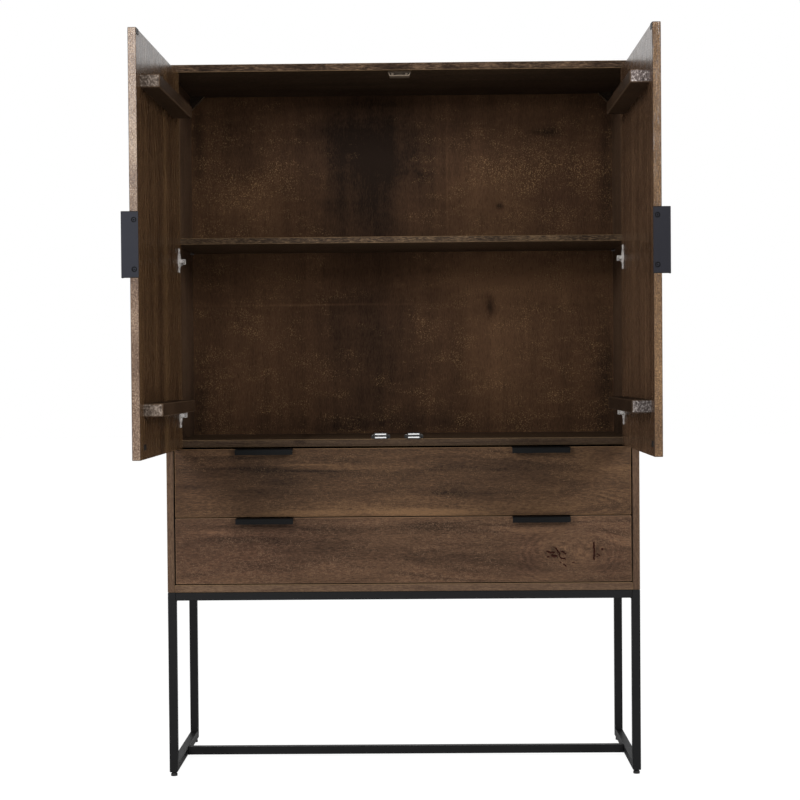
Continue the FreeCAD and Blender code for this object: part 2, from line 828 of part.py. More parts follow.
# The upper catch is a tapered case with an open front, and two round magnets stand in it
top_catch = part("top_catch")
case = sketch_on(top_catch, "XZ_Plane")
tapered(case, "top_catch_wide", "top_catch_narrow", "0", "-top_catch_tall")
pad(top_catch, case, "catch_deep", flip=True)
hollow = sketch_on(top_catch, "XZ_Plane")
tapered(
    hollow,
    "(top_catch_wide - 3 * top_catch_wall)",
    "(top_catch_narrow - 2 * top_catch_wall)",
    "-top_catch_wall",
    "top_catch_wall - top_catch_tall",
)
pocket(top_catch, hollow, "top_catch_hollow")
round_magnets = sketch_on(top_catch, "XZ_Plane", ("0", "0", "-top_catch_wall"))
for sign in ("", "-1 * "):
    circle(round_magnets, f"{sign}top_magnet_out", "-top_catch_tall / 2", "top_magnet")
pad(top_catch, round_magnets, "top_catch_hollow", flip=True)
keep(top_catch, "0", f"{FRONT} + catch_set", "height - board")

# Drawers and their slides


def member(label, web, web_to, lip, tall):
    """A slide member: a channel lying along Y, its web between two distances from the wall."""
    body = part(label)
    section = sketch_on(body, "XZ_Plane")
    corners = [
        (web, f"-{tall} / 2"),
        (lip, f"-{tall} / 2"),
        (lip, f"metal - {tall} / 2"),
        (web_to, f"metal - {tall} / 2"),
        (web_to, f"{tall} / 2 - metal"),
        (lip, f"{tall} / 2 - metal"),
        (lip, f"{tall} / 2"),
        (web, f"{tall} / 2"),
    ]
    outline(section, corners)
    pad(body, section, "slide_long", flip=True)
    return body


outer_member = member("outer_pattern", "0", "metal", "slide_lip", "slide_tall")
runner_member = member("runner_pattern", "runner_web", "runner_web + metal", "runner_lip", "runner_tall")
inner_member = member("inner_pattern", "slide_wide", "slide_wide - metal", "inner_lip", "inner_tall")
SLIDE_UP = "box_under + box_tall / 2"


def slide_places(under):
    """Where the left and the right member of a drawer's slides lie."""
    return [
        handed(side, at(f"{SIGN[side]}{INSIDE}", f"{FRONT} + slide_start", f"{under} + {SLIDE_UP}"))
        for side in ("left", "right")
    ]


pull_pattern = fold_pull("drawer_pull_pattern")
LAID_OVER = Placement(Vector(), Rotation(Vector(0, 1, 0), -90))


def drawer(name, under, tall):
    """A drawer: its show front, its box, its pulls and the slide members it carries."""
    front = part(f"drawer_front_{name}")
    face = sketch_on(front, "XY_Plane")
    rectangle(face, f"gap - {INSIDE}", FRONT, f"{INSIDE} - gap", f"{FRONT} + board")
    pad(front, face, tall)
    ease_edges(front, "edge_ease", every_edge)
    seats = sketch_on(front, "XZ_Plane")
    for sign in ("", "-1 * "):
        start = f"{sign}drawer_pull_place - pull_length / 2"
        rectangle(seats, start, f"{tall} - pull_plate", f"{start} + pull_length", f"{tall} + 1")
    pocket(front, seats, "2 * depth", both_ways=True)
    keep(front, z=under)

    box_front = f"({FRONT} + board)"
    box_back = f"({box_front} + box_deep)"
    box_half = f"({INSIDE} - slide_wide)"
    low = f"({under} + box_under)"
    side_board = part(f"drawer_side_{name}_pattern")
    side_plan = sketch_on(side_board, "XY_Plane")
    rectangle(side_plan, "0", box_front, "box_board", box_back)
    pad(side_board, side_plan, "box_tall")
    ease_edges(side_board, "edge_ease", lambda middle, along: middle.z > number("box_tall - 1"))
    places = [at(f"-{box_half}", z=low), at(f"{box_half} - box_board", z=low)]
    group(f"drawer_sides_{name}", side_board, places)
    between = f"({box_half} - box_board)"
    board(
        f"drawer_back_{name}",
        f"-{between}",
        between,
        f"{box_back} - box_board",
        box_back,
        low,
        f"{low} + box_tall",
        eased=lambda middle, along: middle.z > number("box_tall - 1"),
    )
    board(
        f"drawer_floor_{name}",
        f"-{between}",
        between,
        box_front,
        f"{box_back} - box_board",
        f"{low} + box_floor_up",
        f"{low} + box_floor_up + box_floor",
        eased=None,
    )
    pulls = [
        at(f"{sign}drawer_pull_place", f"{FRONT} + board", f"{under} + {tall}").multiply(LAID_OVER)
        for sign in ("", "-1 * ")
    ]
    group(f"drawer_pulls_{name}", pull_pattern, pulls)
    screws = [seat.multiply(at(z=height)) for seat in pulls for height in PULL_SCREWS]
    group(f"drawer_pull_screws_{name}", pull_screw, screws)
    group(f"slide_inners_{name}", inner_member, slide_places(under))
    group(f"slide_runners_{name}", runner_member, slide_places(under))


drawer("lower", LOWER_UNDER, "lower_front")
drawer("upper", UPPER_UNDER, "upper_front")
group("slide_outers", outer_member, slide_places(LOWER_UNDER) + slide_places(UPPER_UNDER))

# Check every object and every sub-part, then write one file for each sub-part

doc.recompute()
for item in doc.Objects:
    if "Invalid" in item.State or "Error" in item.State:
        raise RuntimeError(f"{item.Label} failed: {item.State}")
for item in exported:
    if item.Shape.isNull() or not item.Shape.isValid():
        raise RuntimeError(f"{item.Label} has no valid shape")
for item in exported:
    item.Shape.exportStep(f"parts/{item.Label}.step")
print(f"{len(exported)} sub-parts written")
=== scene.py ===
# %% [markdown]
# A tall cupboard of walnut-stained mango wood stands on a frame of black square tube. Its two
# doors are open, two wide drawers lie below them, and every pull is folded from steel plate.
# The construction comes packed from CAD as a fixed frame. This script gives each piece its
# finish, and adds what is made at the bench: screws, nails, weld beads, ball rows and cracks.

# %% Load the packed model, with a helper for its parts' boxes
import json
import math
import random

import bmesh
import bpy
from mathutils import Matrix, Vector


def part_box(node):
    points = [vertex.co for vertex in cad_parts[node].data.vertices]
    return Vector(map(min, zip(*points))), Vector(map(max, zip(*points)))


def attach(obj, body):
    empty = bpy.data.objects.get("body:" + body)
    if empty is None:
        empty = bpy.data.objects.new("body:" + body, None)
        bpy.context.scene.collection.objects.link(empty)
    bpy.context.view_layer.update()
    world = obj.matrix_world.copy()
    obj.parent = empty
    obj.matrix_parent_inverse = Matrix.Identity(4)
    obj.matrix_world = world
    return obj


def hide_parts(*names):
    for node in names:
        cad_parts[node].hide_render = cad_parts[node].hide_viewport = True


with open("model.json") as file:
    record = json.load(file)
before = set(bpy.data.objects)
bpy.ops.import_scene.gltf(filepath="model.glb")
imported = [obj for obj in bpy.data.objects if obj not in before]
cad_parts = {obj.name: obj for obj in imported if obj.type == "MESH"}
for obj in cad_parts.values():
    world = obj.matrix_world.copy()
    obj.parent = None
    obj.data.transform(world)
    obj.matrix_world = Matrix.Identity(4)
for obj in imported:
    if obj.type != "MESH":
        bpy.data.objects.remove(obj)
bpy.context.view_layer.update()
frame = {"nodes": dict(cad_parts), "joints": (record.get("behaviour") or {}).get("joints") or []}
MM = 0.001
nodes = frame["nodes"]

# %% [markdown]
# The camera comes first, because pixels of the photograph place a few things later, such as
# the knots in a drawer front. Its place and turn were solved from the cupboard's own edges:
# a long lens, a little over four metres away, at the height of the shelf's middle.

# %% Place the camera
PHOTO_SIZE = 800
CAMERA_PLACE = Vector((0.0471, -4.2418, 0.9894))
CAMERA_YAW = -0.0128
CAMERA_PITCH = -0.0183
CAMERA_ROLL = -0.0082
LENS = 75.0
SENSOR = 36.0


def add_object(name, data):
    item = bpy.data.objects.new(name, data)
    bpy.context.collection.objects.link(item)
    return item


lens_data = bpy.data.cameras.new("camera")
lens_data.lens = LENS
lens_data.sensor_width = SENSOR
camera = add_object("camera", lens_data)
aim = (
    Matrix.Rotation(-CAMERA_YAW, 4, "Z")
    @ Matrix.Rotation(math.pi / 2 + CAMERA_PITCH, 4, "X")
    @ Matrix.Rotation(CAMERA_ROLL, 4, "Z")
)
camera.matrix_world = Matrix.Translation(CAMERA_PLACE) @ aim
bpy.context.scene.camera = camera
print("camera", [round(value, 3) for value in CAMERA_PLACE])


# %% [markdown]
# A pixel of the photograph is a ray from the lens. Where the ray meets an upright plane that
# faces the camera is the place on the cupboard, so a knot can be put where it is seen.

# %% Find the place on an upright plane that a pixel shows
def seen_at(pixel_x, pixel_y, plane_y):
    half_view = SENSOR / 2 / LENS
    across = (pixel_x / PHOTO_SIZE * 2 - 1) * half_view
    upward = (1 - pixel_y / PHOTO_SIZE * 2) * half_view
    ray = aim.to_3x3() @ Vector((across, upward, -1))
    return CAMERA_PLACE + ray * ((plane_y - CAMERA_PLACE.y) / ray.y)


front_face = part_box("drawer_front_lower")[0].y
back_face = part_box("back_panel")[0].y
print("picture centre falls at", [round(value, 3) for value in seen_at(400, 400, front_face)])

# %% [markdown]
# Light, finishes and bench-made details are all trees of nodes. Written out one by one such
# trees are long, so a small helper adds a node, fills its inputs and gives back its output.
# An input may be a number, a colour or another node's output, which is then linked. The same
# helper serves shaders here and Geometry Nodes further on.

# %% A helper that builds a tree node by node
def tint(red, green, blue):
    """A colour as a screen shows it, 0 to 255 a channel, as the values a shader reads."""
    channels = []
    for value in (red, green, blue):
        share = value / 255
        channels.append(share / 12.92 if share <= 0.04045 else ((share + 0.055) / 1.055) ** 2.4)
    return (*channels, 1.0)


def shaded(colour, factor):
    return (*(channel * factor for channel in colour[:3]), 1.0)


class Graph:
    """A tree of nodes that is being built."""

    family = "ShaderNode"

    def __init__(self, tree):
        self.tree = tree

    def fill(self, socket, value):
        if isinstance(value, bpy.types.NodeSocket):
            self.tree.links.new(value, socket)
        else:
            socket.default_value = value

    def add(self, kind, inputs, output=0, **settings):
        shared = kind.startswith(("ShaderNode", "FunctionNode"))
        node = self.tree.nodes.new(kind if shared else self.family + kind)
        for setting, value in settings.items():
            setattr(node, setting, value)
        for socket, value in inputs.items():
            self.fill(node.inputs[socket], value)
        return node.outputs[output]

    def maths(self, operation, first, second=0.0, third=0.0):
        inputs = {0: first, 1: second, 2: third}
        return self.add("ShaderNodeMath", inputs, operation=operation)

    def times(self, first, second):
        return self.maths("MULTIPLY", first, second)

    def times_plus(self, first, second, third):
        return self.maths("MULTIPLY_ADD", first, second, third)

    def minus(self, first, second):
        return self.maths("SUBTRACT", first, second)

    def join(self, x, y, z):
        return self.add("ShaderNodeCombineXYZ", {0: x, 1: y, 2: z})

    def split(self, vector):
        node = self.tree.nodes.new("ShaderNodeSeparateXYZ")
        self.fill(node.inputs[0], vector)
        return node.outputs

    def stretch(self, vector, factors):
        return self.add("ShaderNodeVectorMath", {0: vector, 1: factors}, operation="MULTIPLY")

    def noise(self, vector, detail=2.0, roughness=0.5, output="Fac"):
        inputs = {"Vector": vector, "Scale": 1.0, "Detail": detail, "Roughness": roughness}
        return self.add("ShaderNodeTexNoise", inputs, output)


print("a screen's middle grey is", round(tint(128, 128, 128)[0], 3), "to a shader")

# %% [markdown]
# A material is such a tree too, and some steps come back in every finish: a noise over the
# object's own space, one range stretched to another, a ramp of tones, a blend, a bump. Two
# masks know which way a face looks, for the sawn edges and the arrises of the boards.

# %% A helper for materials
class Finish(Graph):
    """A material that is being built, with its shader's own sockets at hand."""

    def __init__(self, name, **sockets):
        self.material = bpy.data.materials.new(name)
        self.material.use_nodes = True
        self.tree = self.material.node_tree
        self.shader = self.tree.nodes["Principled BSDF"]
        self.place = self.add("TexCoord", {}, "Object")
        self.set(**sockets)

    def mottle(self, scales, detail=2.0, roughness=0.5, output="Fac"):
        """A noise over the object's own space, finer along an axis whose scale is larger."""
        return self.noise(self.stretch(self.place, scales), detail, roughness, output)

    def between(self, value, low, high, to_low=0.0, to_high=1.0):
        """The value's place between low and high, clamped, stretched to a new range."""
        return self.add("MapRange", {"Value": value, 1: low, 2: high, 3: to_low, 4: to_high})

    def ramp(self, value, stops):
        stops = list(stops)
        node = self.tree.nodes.new("ShaderNodeValToRGB")
        self.fill(node.inputs[0], value)
        elements = node.color_ramp.elements
        while len(elements) < len(stops):
            elements.new(0.5)
        for element, (place, colour) in zip(elements, stops):
            element.position = place
            element.color = colour
        return node.outputs[0]

    def blend(self, share, below, above, **settings):
        return self.add("Mix", {0: share, 6: below, 7: above}, 2, data_type="RGBA", **settings)

    def bump(self, height, distance, strength=1.0):
        return self.add("Bump", {"Height": height, "Distance": distance, "Strength": strength})

    def facing(self, axis):
        """1 where the surface looks along that axis of the object, either way, else 0."""
        normal = self.split(self.add("TexCoord", {}, "Normal"))["XYZ".index(axis)]
        return self.between(self.maths("ABSOLUTE", normal), 0.7, 0.9)

    def arris(self):
        """1 on the narrow sloping faces where two sides of a board meet, else 0."""
        normal = self.split(self.add("TexCoord", {}, "Normal"))
        parts = [self.maths("ABSOLUTE", part) for part in normal]
        largest = self.maths("MAXIMUM", self.maths("MAXIMUM", parts[0], parts[1]), parts[2])
        return self.between(largest, 0.8, 0.9, 1.0, 0.0)

    def set(self, **sockets):
        for socket, value in sockets.items():
            self.fill(self.shader.inputs[socket.replace("_", " ")], value)
        return self.material


print("steps of a finish:", [step for step in vars(Finish) if not step.startswith("_")])

# %% [markdown]
# The studio is a white floor that runs out of sight, with soft light all round and two large
# lamps high in front. The background is white because rays from the camera, and rays that a
# gloss or a glass sends on towards the back, see a white world, not because more light falls
# on the wood. The room on the camera's side is dimmer in reflections, as a real studio is.
# The floor uses the same trick, and keeps a share of lit paint for a faint shadow.

# %% Light the studio
WORLD_LIGHT = 0.38
WORLD_MIRRORED = 0.16
BACKDROP_EDGES = (0.70, 0.90)
FLOOR_SIZE = 40.0
FLOOR_GLOW = 0.8
FLOOR_WHITE = 1.19
LAMPS = {"lamp_left": ((-2.1, -3.7, 2.55), 106), "lamp_right": ((2.4, -3.6, 2.55), 98)}
LAMP_SIZE = 1.4
LAMP_AIM = Vector((0, 0, 0.9))

world = bpy.data.worlds.new("studio")
world.use_nodes = True
sky = Graph(world.node_tree)
path = sky.tree.nodes.new("ShaderNodeLightPath").outputs
towards_back = sky.split(sky.add("TexCoord", {}, "Generated"))["Y"]
edges = {1: BACKDROP_EDGES[0], 2: BACKDROP_EDGES[1], 3: WORLD_MIRRORED}
backdrop = sky.add("MapRange", {"Value": towards_back, **edges})
mirrored = sky.maths("MAXIMUM", path["Is Glossy Ray"], path["Is Transmission Ray"])
strength = sky.times_plus(mirrored, sky.minus(backdrop, WORLD_LIGHT), WORLD_LIGHT)
background = sky.tree.nodes["Background"]
background.inputs["Color"].default_value = (1, 1, 1, 1)
sky.fill(background.inputs["Strength"], sky.maths("MAXIMUM", strength, path["Is Camera Ray"]))
bpy.context.scene.world = world

for name, (place, power) in LAMPS.items():
    light = bpy.data.lights.new(name, "AREA")
    light.size = LAMP_SIZE
    light.energy = power
    holder = add_object(name, light)
    holder.location = place
    holder.rotation_euler = (LAMP_AIM - holder.location).to_track_quat("-Z", "Y").to_euler()

floor_mesh = bpy.data.meshes.new("floor")
half_floor = FLOOR_SIZE / 2
corners = [(x * half_floor, y * half_floor, 0) for x, y in ((-1, -1), (1, -1), (1, 1), (-1, 1))]
floor_mesh.from_pydata(corners, [], [(0, 1, 2, 3)])
floor = add_object("floor", floor_mesh)
paint = Finish("white_floor", Base_Color=(0.8, 0.8, 0.8, 1), Roughness=1.0, Specular_IOR_Level=0.0)
glow = paint.add("Emission", {"Strength": FLOOR_WHITE})
glow_share = paint.times(paint.add("LightPath", {}, "Is Camera Ray"), FLOOR_GLOW)
mixed = paint.add("MixShader", {0: glow_share, 1: paint.shader.outputs[0], 2: glow})
paint.fill(paint.tree.nodes["Material Output"].inputs["Surface"], mixed)
floor_mesh.materials.append(paint.material)
bpy.context.scene.view_settings.view_transform = "Standard"
print("white floor,", len(LAMPS), "lamps")


# %% [markdown]
# Wood is coloured through its whole thickness, so its pattern lives in space and each sawn
# face only shows a slice of it. The grain runs along one axis of the board, and everything
# is stretched that way. A slow noise makes the grain drift. Spots that a person would point
# at, such as a dark streak or a knot, are ovals with a wandering rim, at places seen in the
# photograph. At a knot the grain is pushed aside, so its lines bow round it.

# %% A board's grain
GRAIN_AXES = {"x": (0, 2, 1), "z": (2, 0, 1), "door": (2, 1, 0), "flat": (0, 1, 2)}
DRIFT = 0.04
RIM_WANDER = 1.2
KNOT_PUSH = 0.9


class Board(Finish):
    """A finish whose pattern follows the grain of one board."""

    def __init__(self, name, grain, shift, **sockets):
        super().__init__(name, **sockets)
        self.axes = GRAIN_AXES[grain]
        self.shift = shift
        shifted = self.split(self.add("VectorMath", {0: self.place, 1: shift}))
        self.along, self.across, self.deep = (shifted[axis] for axis in self.axes)
        unrest = self.split(self.mottle((9, 9, 20), 3, 0.65, "Color"))
        self.unrest = [self.minus(part, 0.5) for part in unrest]

    def off_centre(self, part, centre, size, wander=RIM_WANDER):
        """How far to one side of a place, counted in half sizes, with an uneven rim."""
        off = self.minus(self.split(self.place)[part], centre[part])
        return self.times_plus(self.unrest[part], wander, self.maths("DIVIDE", off, size))

    def oval(self, centre, long, tall, wander=RIM_WANDER):
        """The squared distance from a place, counted in half sizes of an oval."""
        dx = self.off_centre(0, centre, long, wander)
        dz = self.off_centre(2, centre, tall, wander)
        return self.times_plus(dx, dx, self.times(dz, dz))

    def spot(self, centre, long, tall):
        """1 in the middle of an oval, fading to 0 past its rim."""
        return self.maths("EXPONENT", self.times(self.oval(centre, long, tall), -1.0))

    def spots(self, marks, value=0.0):
        for centre, long, tall, change in marks:
            value = self.times_plus(self.spot(centre, long, tall), change, value)
        return value

    def push_aside(self, centre, long, tall):
        middle = centre[self.axes[1]] + self.shift[self.axes[1]]
        inward = self.minus(middle, self.across)
        push = self.times(self.spot(centre, long, tall), KNOT_PUSH)
        self.across = self.times_plus(inward, push, self.across)

    def let_drift(self):
        slow = self.grained(1.7, 4.0, 1)
        other = self.noise(self.stretched(1.7, 4.0, 5.3), 1)
        self.across = self.times_plus(slow, DRIFT, self.across)
        self.deep = self.times_plus(other, DRIFT, self.deep)

    def stretched(self, along_scale, across_scale, start=0.0):
        return self.join(
            self.times_plus(self.along, along_scale, start),
            self.times(self.across, across_scale),
            self.times(self.deep, across_scale),
        )

    def grained(self, along_scale, across_scale, detail, roughness=0.5):
        return self.noise(self.stretched(along_scale, across_scale), detail, roughness)


print("ways that grain can run:", list(GRAIN_AXES))

# %% [markdown]
# A tree adds a ring each year, and a board's face cuts the rings as fine, wavering lines.
# Blender's wave texture has rings too, but here the pith lies outside the board, and each
# knot bends its own lines. So the lines are a sine of the distance from the pith, and round
# a knot or an eye a second sine follows its rim and fades on both sides of it.

# %% Growth lines
RING_SPACING = 8.5 * MM
RING_WAVER = 16.0
EYE_WANDER = 0.35
EYE_RIM = 0.9
EYE_FADE = -6.0


def growth_lines(wood, pith, waver):
    """Waves with the yearly rings' distance from the pith, which a noise makes waver."""
    out = wood.minus(wood.across, pith[0])
    back = wood.minus(wood.deep, pith[1])
    squares = wood.times_plus(out, out, wood.times(back, back))
    phase = wood.times(wood.maths("SQRT", squares), 2 * math.pi / RING_SPACING)
    return wood.maths("SINE", wood.times_plus(waver, RING_WAVER, phase))


def eye_lines(wood, centre, long, tall, count, side):
    """Lines that bow round one side of a knot or an eye: 1 for the right, -1 for the left."""
    distance = wood.maths("SQRT", wood.oval(centre, long, tall, EYE_WANDER))
    off_rim = wood.minus(distance, EYE_RIM)
    fade = wood.maths("EXPONENT", wood.times(wood.times(off_rim, off_rim), EYE_FADE))
    wave = wood.maths("SINE", wood.times(distance, 2 * math.pi * count))
    sideways = wood.times(wood.off_centre(0, centre, long), side)
    bowed = wood.between(sideways, 0.0, 0.9)
    return wood.times(wood.times(wave, fade), bowed)


print("yearly rings about", round(RING_SPACING / MM, 1), "mm apart")

# %% [markdown]
# How light the wood is at a place is one value. Broad bands, narrow streaks, fine fibres and
# slow clouds are the same noise at other sizes, and their sum looks like grain where a single
# noise looks like smoke. The growth lines darken it in places. The marks of the photograph
# shift it too, and on the back some of them are painted shade and painted light; there they
# fade past its inner skin, because its rear is plain.

# %% How light the wood is at each place
PART_WEIGHTS = (0.8, 0.6, 1.35, 0.5)
FADE_DEPTH = 4 * MM
FADED = 0.2


def lay_grain(wood, length, knots):
    """The noises that a board's look is mixed from, kept with its finish."""
    wood.along = wood.maths("DIVIDE", wood.along, length)
    for centre, long, tall in knots:
        wood.push_aside(centre, long, tall)
    wood.let_drift()
    wood.bands = wood.grained(1.5, 11, 4, 0.55)
    wood.streaks = wood.grained(4, 48, 4, 0.6)
    wood.fibres = wood.grained(85, 420, 3, 0.75)
    wood.pores = wood.grained(55, 700, 2)
    wood.curl = wood.grained(75, 140, 3, 0.6)
    wood.clouds = wood.mottle((4.2, 4.2, 7), 4, 0.65)


def fade_past(wood, depth):
    """1 up to a depth of the board, and little past it. Without a depth it is 1 everywhere."""
    if depth is None:
        return 1.0
    y = wood.split(wood.place)[1]
    return wood.between(y, depth, depth + FADE_DEPTH, 1.0, FADED)


def lightness(wood, contrast, figure, pith, eyes, marks, shown):
    value = wood.times_plus(wood.spots(marks), shown, 0.5)
    for part, weight in zip((wood.bands, wood.streaks, wood.fibres, wood.clouds), PART_WEIGHTS):
        value = wood.times_plus(wood.minus(part, 0.5), weight * contrast, value)
    dark_line = wood.between(growth_lines(wood, pith, wood.bands), 0.2, 1.0)
    in_places = wood.between(wood.clouds, 0.44, 0.62, 0.0, -figure)
    value = wood.times_plus(dark_line, in_places, value)
    for centre, long, tall, count, side, depth in eyes:
        bow = eye_lines(wood, centre, long, tall, count, side)
        value = wood.times_plus(bow, depth, value)
    return value


print("weights of bands, streaks, fibres and clouds:", PART_WEIGHTS)

# %% [markdown]
# Sapwood, cross grain and glue take a stain unevenly. Cool patches lie where it dried greyer,
# fine pale threads wind through wood whose grain is interlocked, and pale flecks lie in
# clumps. Short dark pores lie along the grain. Each is a mask over the colour before it, so
# one can be changed without the others.

# %% Patches, threads, flecks and pores
GREYED = 0.7


def uneven_stain(wood, colour, stain, cool, cool_marks, threads, flecks, fleck_marks, shown):
    greyed = wood.spots(cool_marks, wood.between(wood.clouds, 0.45, 0.65, 0.0, cool))
    greyed = wood.times(wood.maths("MINIMUM", greyed, 1.0), GREYED)
    colour = wood.blend(greyed, colour, stain["cool"], blend_type="MULTIPLY")
    off_middle = wood.maths("ABSOLUTE", wood.minus(wood.curl, 0.5))
    banded = wood.maths("ADD", wood.clouds, wood.times(wood.bands, 0.5))
    cluster = wood.between(banded, 0.66, 0.86, 0.1)
    winding = wood.times(wood.between(off_middle, 0.0, 0.03, threads, 0.0), cluster)
    colour = wood.blend(winding, colour, stain["pale"])
    dots = wood.mottle((340, 340, 340), 2)
    clumps = wood.spots(fleck_marks, wood.mottle((11, 11, 24), 3, 0.7))
    flecked = wood.times(wood.between(dots, 0.55, 0.7, 0.0, flecks), wood.between(clumps, 0.44, 0.66))
    colour = wood.blend(wood.times(flecked, shown), colour, stain["pale"])
    wood.dark_pores = wood.between(wood.pores, 0.58, 0.7, 0.0, 0.55)
    return wood.blend(wood.dark_pores, colour, stain["dark"])


print("cool patches take", GREYED, "of the stain's cool tint at most")

# %% [markdown]
# A sawn edge cuts the fibres, so it has tones and a grit of its own. The arris, the narrow
# slope where two sides of a board meet, gets a pale tone, a painted highlight where the eased
# edge would catch the light; on the doors its tone is dark. A CAD node's mesh stays as it is,
# so both are found by the way that a face looks, and need no seams.

# %% Sawn edges and arrises
GRIT_EDGES = (0.32, 0.5, 0.68)


def edge_stain(wood, colour, edges, arris_colour, arris_share):
    slow = wood.mottle((9, 9, 6), 3, 0.7)
    for axis, tones, grain_size, unevenness in edges:
        grit = wood.mottle(grain_size, 3, 0.8)
        grit = wood.times_plus(wood.minus(slow, 0.5), unevenness, grit)
        sawn = wood.ramp(grit, zip(GRIT_EDGES, (tones["dark"], tones["middle"], tones["light"])))
        colour = wood.blend(wood.facing(axis), colour, sawn)
    # A pale arris tone is a painted highlight; on the doors the arris tone is dark.
    return wood.blend(wood.times(wood.arris(), arris_share), colour, arris_colour)


print("grit of an edge turns from dark to light over", GRIT_EDGES)

# %% [markdown]
# One recipe stains every board, and each board names only what is its own. A ramp turns the
# value into the stain's dark, middle and light tones, the masks go over it, and blots turn it
# towards near black; beside the drawer fronts they are painted shade in the gaps. The fibres
# also make the finish uneven, and a small bump gives their relief, which is too fine to model.

# %% Stained wood
# How much of the arris tone goes on: a painted highlight where it is pale.
ARRIS_SHARE = 0.7
# The near black of the blots, which beside the drawer fronts paint the shade in the gaps.
BLOT_COLOUR = tint(14, 10, 8)
FIBRE_RELIEF = 0.25 * MM


def stained_wood(
    name,
    grain,
    shift,
    stain,
    contrast=1.0,
    figure=0.25,
    threads=0.2,
    flecks=0.25,
    fleck_marks=(),
    cool=0.5,
    marks=(),
    cool_marks=(),
    knots=(),
    eyes=(),
    pith=(0.05, 0.12),
    edges=(),
    blots=(),
    shown_to=None,
    arris_tone="pale",
    arris_share=ARRIS_SHARE,
    length=1.0,
    rough=0.46,
    shine=0.12,
):
    wood = Board(name, grain, shift, Specular_IOR_Level=shine)
    lay_grain(wood, length, knots)
    shown = fade_past(wood, shown_to)
    value = lightness(wood, contrast, figure, pith, eyes, marks, shown)
    colour = wood.ramp(value, [(0.0, stain["dark"]), (0.5, stain["middle"]), (1.0, stain["light"])])
    colour = uneven_stain(wood, colour, stain, cool, cool_marks, threads, flecks, fleck_marks, shown)
    colour = edge_stain(wood, colour, edges, stain[arris_tone], arris_share)
    # Blots: painted shade in the gaps beside the drawer fronts, and dark blots on the battens' ends.
    if blots:
        blotted = wood.maths("MINIMUM", wood.spots(blots), 1.0)
        colour = wood.blend(blotted, colour, BLOT_COLOUR)
    roughness = wood.between(wood.fibres, 0.3, 0.7, rough + 0.07, rough - 0.07)
    height = wood.minus(wood.times(wood.fibres, 0.6), wood.dark_pores)
    return wood.set(Base_Color=colour, Roughness=roughness, Normal=wood.bump(height, FIBRE_RELIEF))


print("fibres stand up to", round(FIBRE_RELIEF / MM, 2), "mm")

# %% [markdown]
# The stain is one, but it took on every board in its own way, so each has its own tones. The
# shelf, the divider and the corner blocks in the top corners are made darker as painted shade,
# and the edges in the gaps between the drawers are painted nearly black as shade in the gaps.
# The doors' sawn edges took less of it, and the drawer boxes are bare. Colours are written as a
# screen shows them, because that is how they were judged beside the photograph.

# %% The stain on each board
def stain(dark, middle, light, cool=(210, 205, 215), pale=(128, 104, 76)):
    tones = {"dark": dark, "middle": middle, "light": light, "cool": cool, "pale": pale}
    return {word: tint(*tone) for word, tone in tones.items()}


upper_stain = stain((36, 24, 15), (72, 52, 36), (108, 81, 56), cool=(214, 207, 212), pale=(134, 105, 76))
lower_stain = stain((42, 28, 18), (82, 60, 44), (120, 90, 66), cool=(218, 208, 214), pale=(140, 112, 88))
carcass_stain = stain((52, 36, 26), (86, 66, 51), (120, 96, 74))
shade_stain = stain((44, 31, 22), (66, 51, 38), (96, 77, 58))
door_stain_left = stain((46, 30, 17), (78, 56, 37), (108, 82, 54), pale=(112, 88, 60))
door_stain_right = stain((48, 32, 21), (84, 62, 46), (118, 90, 66), pale=(120, 96, 72))
back_stain = stain((33, 22, 14), (78, 55, 38), (108, 79, 56), pale=(150, 118, 82))
# The corner blocks' tones are made darker as painted shade, for the shade of the top corners.
block_shade_stain = stain((26, 19, 14), (40, 30, 23), (58, 45, 34), pale=(120, 100, 80))
top_stain = stain((38, 27, 19), (58, 45, 34), (84, 67, 52))
batten_stain = stain((34, 24, 16), (56, 41, 29), (82, 62, 45), pale=(118, 96, 76))
box_stain = stain((110, 82, 54), (138, 106, 72), (160, 128, 90), pale=(176, 146, 108))
SAWN = (380, 380, 300)
PLANED = (70, 300, 420)
END_GRAIN = (260, 240, 190)
edge_left = stain((58, 40, 30), (108, 86, 70), (176, 154, 132))
edge_right = stain((46, 29, 16), (94, 70, 48), (158, 126, 90))
edge_top = stain((27, 18, 12), (55, 42, 32), (106, 85, 66))
edge_shelf = stain((30, 21, 14), (58, 44, 32), (116, 94, 70))
# Near black on the drawer fronts' upper and lower edges: painted shade in the gaps.
edge_gap_shade = stain((16, 11, 8), (26, 18, 12), (38, 27, 19))
end_grain = {
    "left": stain((44, 36, 30), (88, 75, 65), (158, 144, 132)),
    "right": stain((48, 42, 42), (112, 100, 96), (228, 218, 212)),
}
print("tones of a stain:", list(top_stain))


# %% [markdown]
# A drawer front is the best board, with dark streaks, gold along the upper front's lower edge
# and two cracked knots in the lower one. A picture could be laid on it, but soft ovals in the
# board's own space hold no pixel of the photograph and go with the grain. A mark is its
# middle's pixel, half its length and half its height in metres, and how much it changes.

# %% Marks in the drawer fronts
def seen_marks(face_y, marks):
    """Marks given by the pixel of their middle, turned into places on an upright face."""
    return [(seen_at(*pixel, face_y), *sizes) for pixel, *sizes in marks]


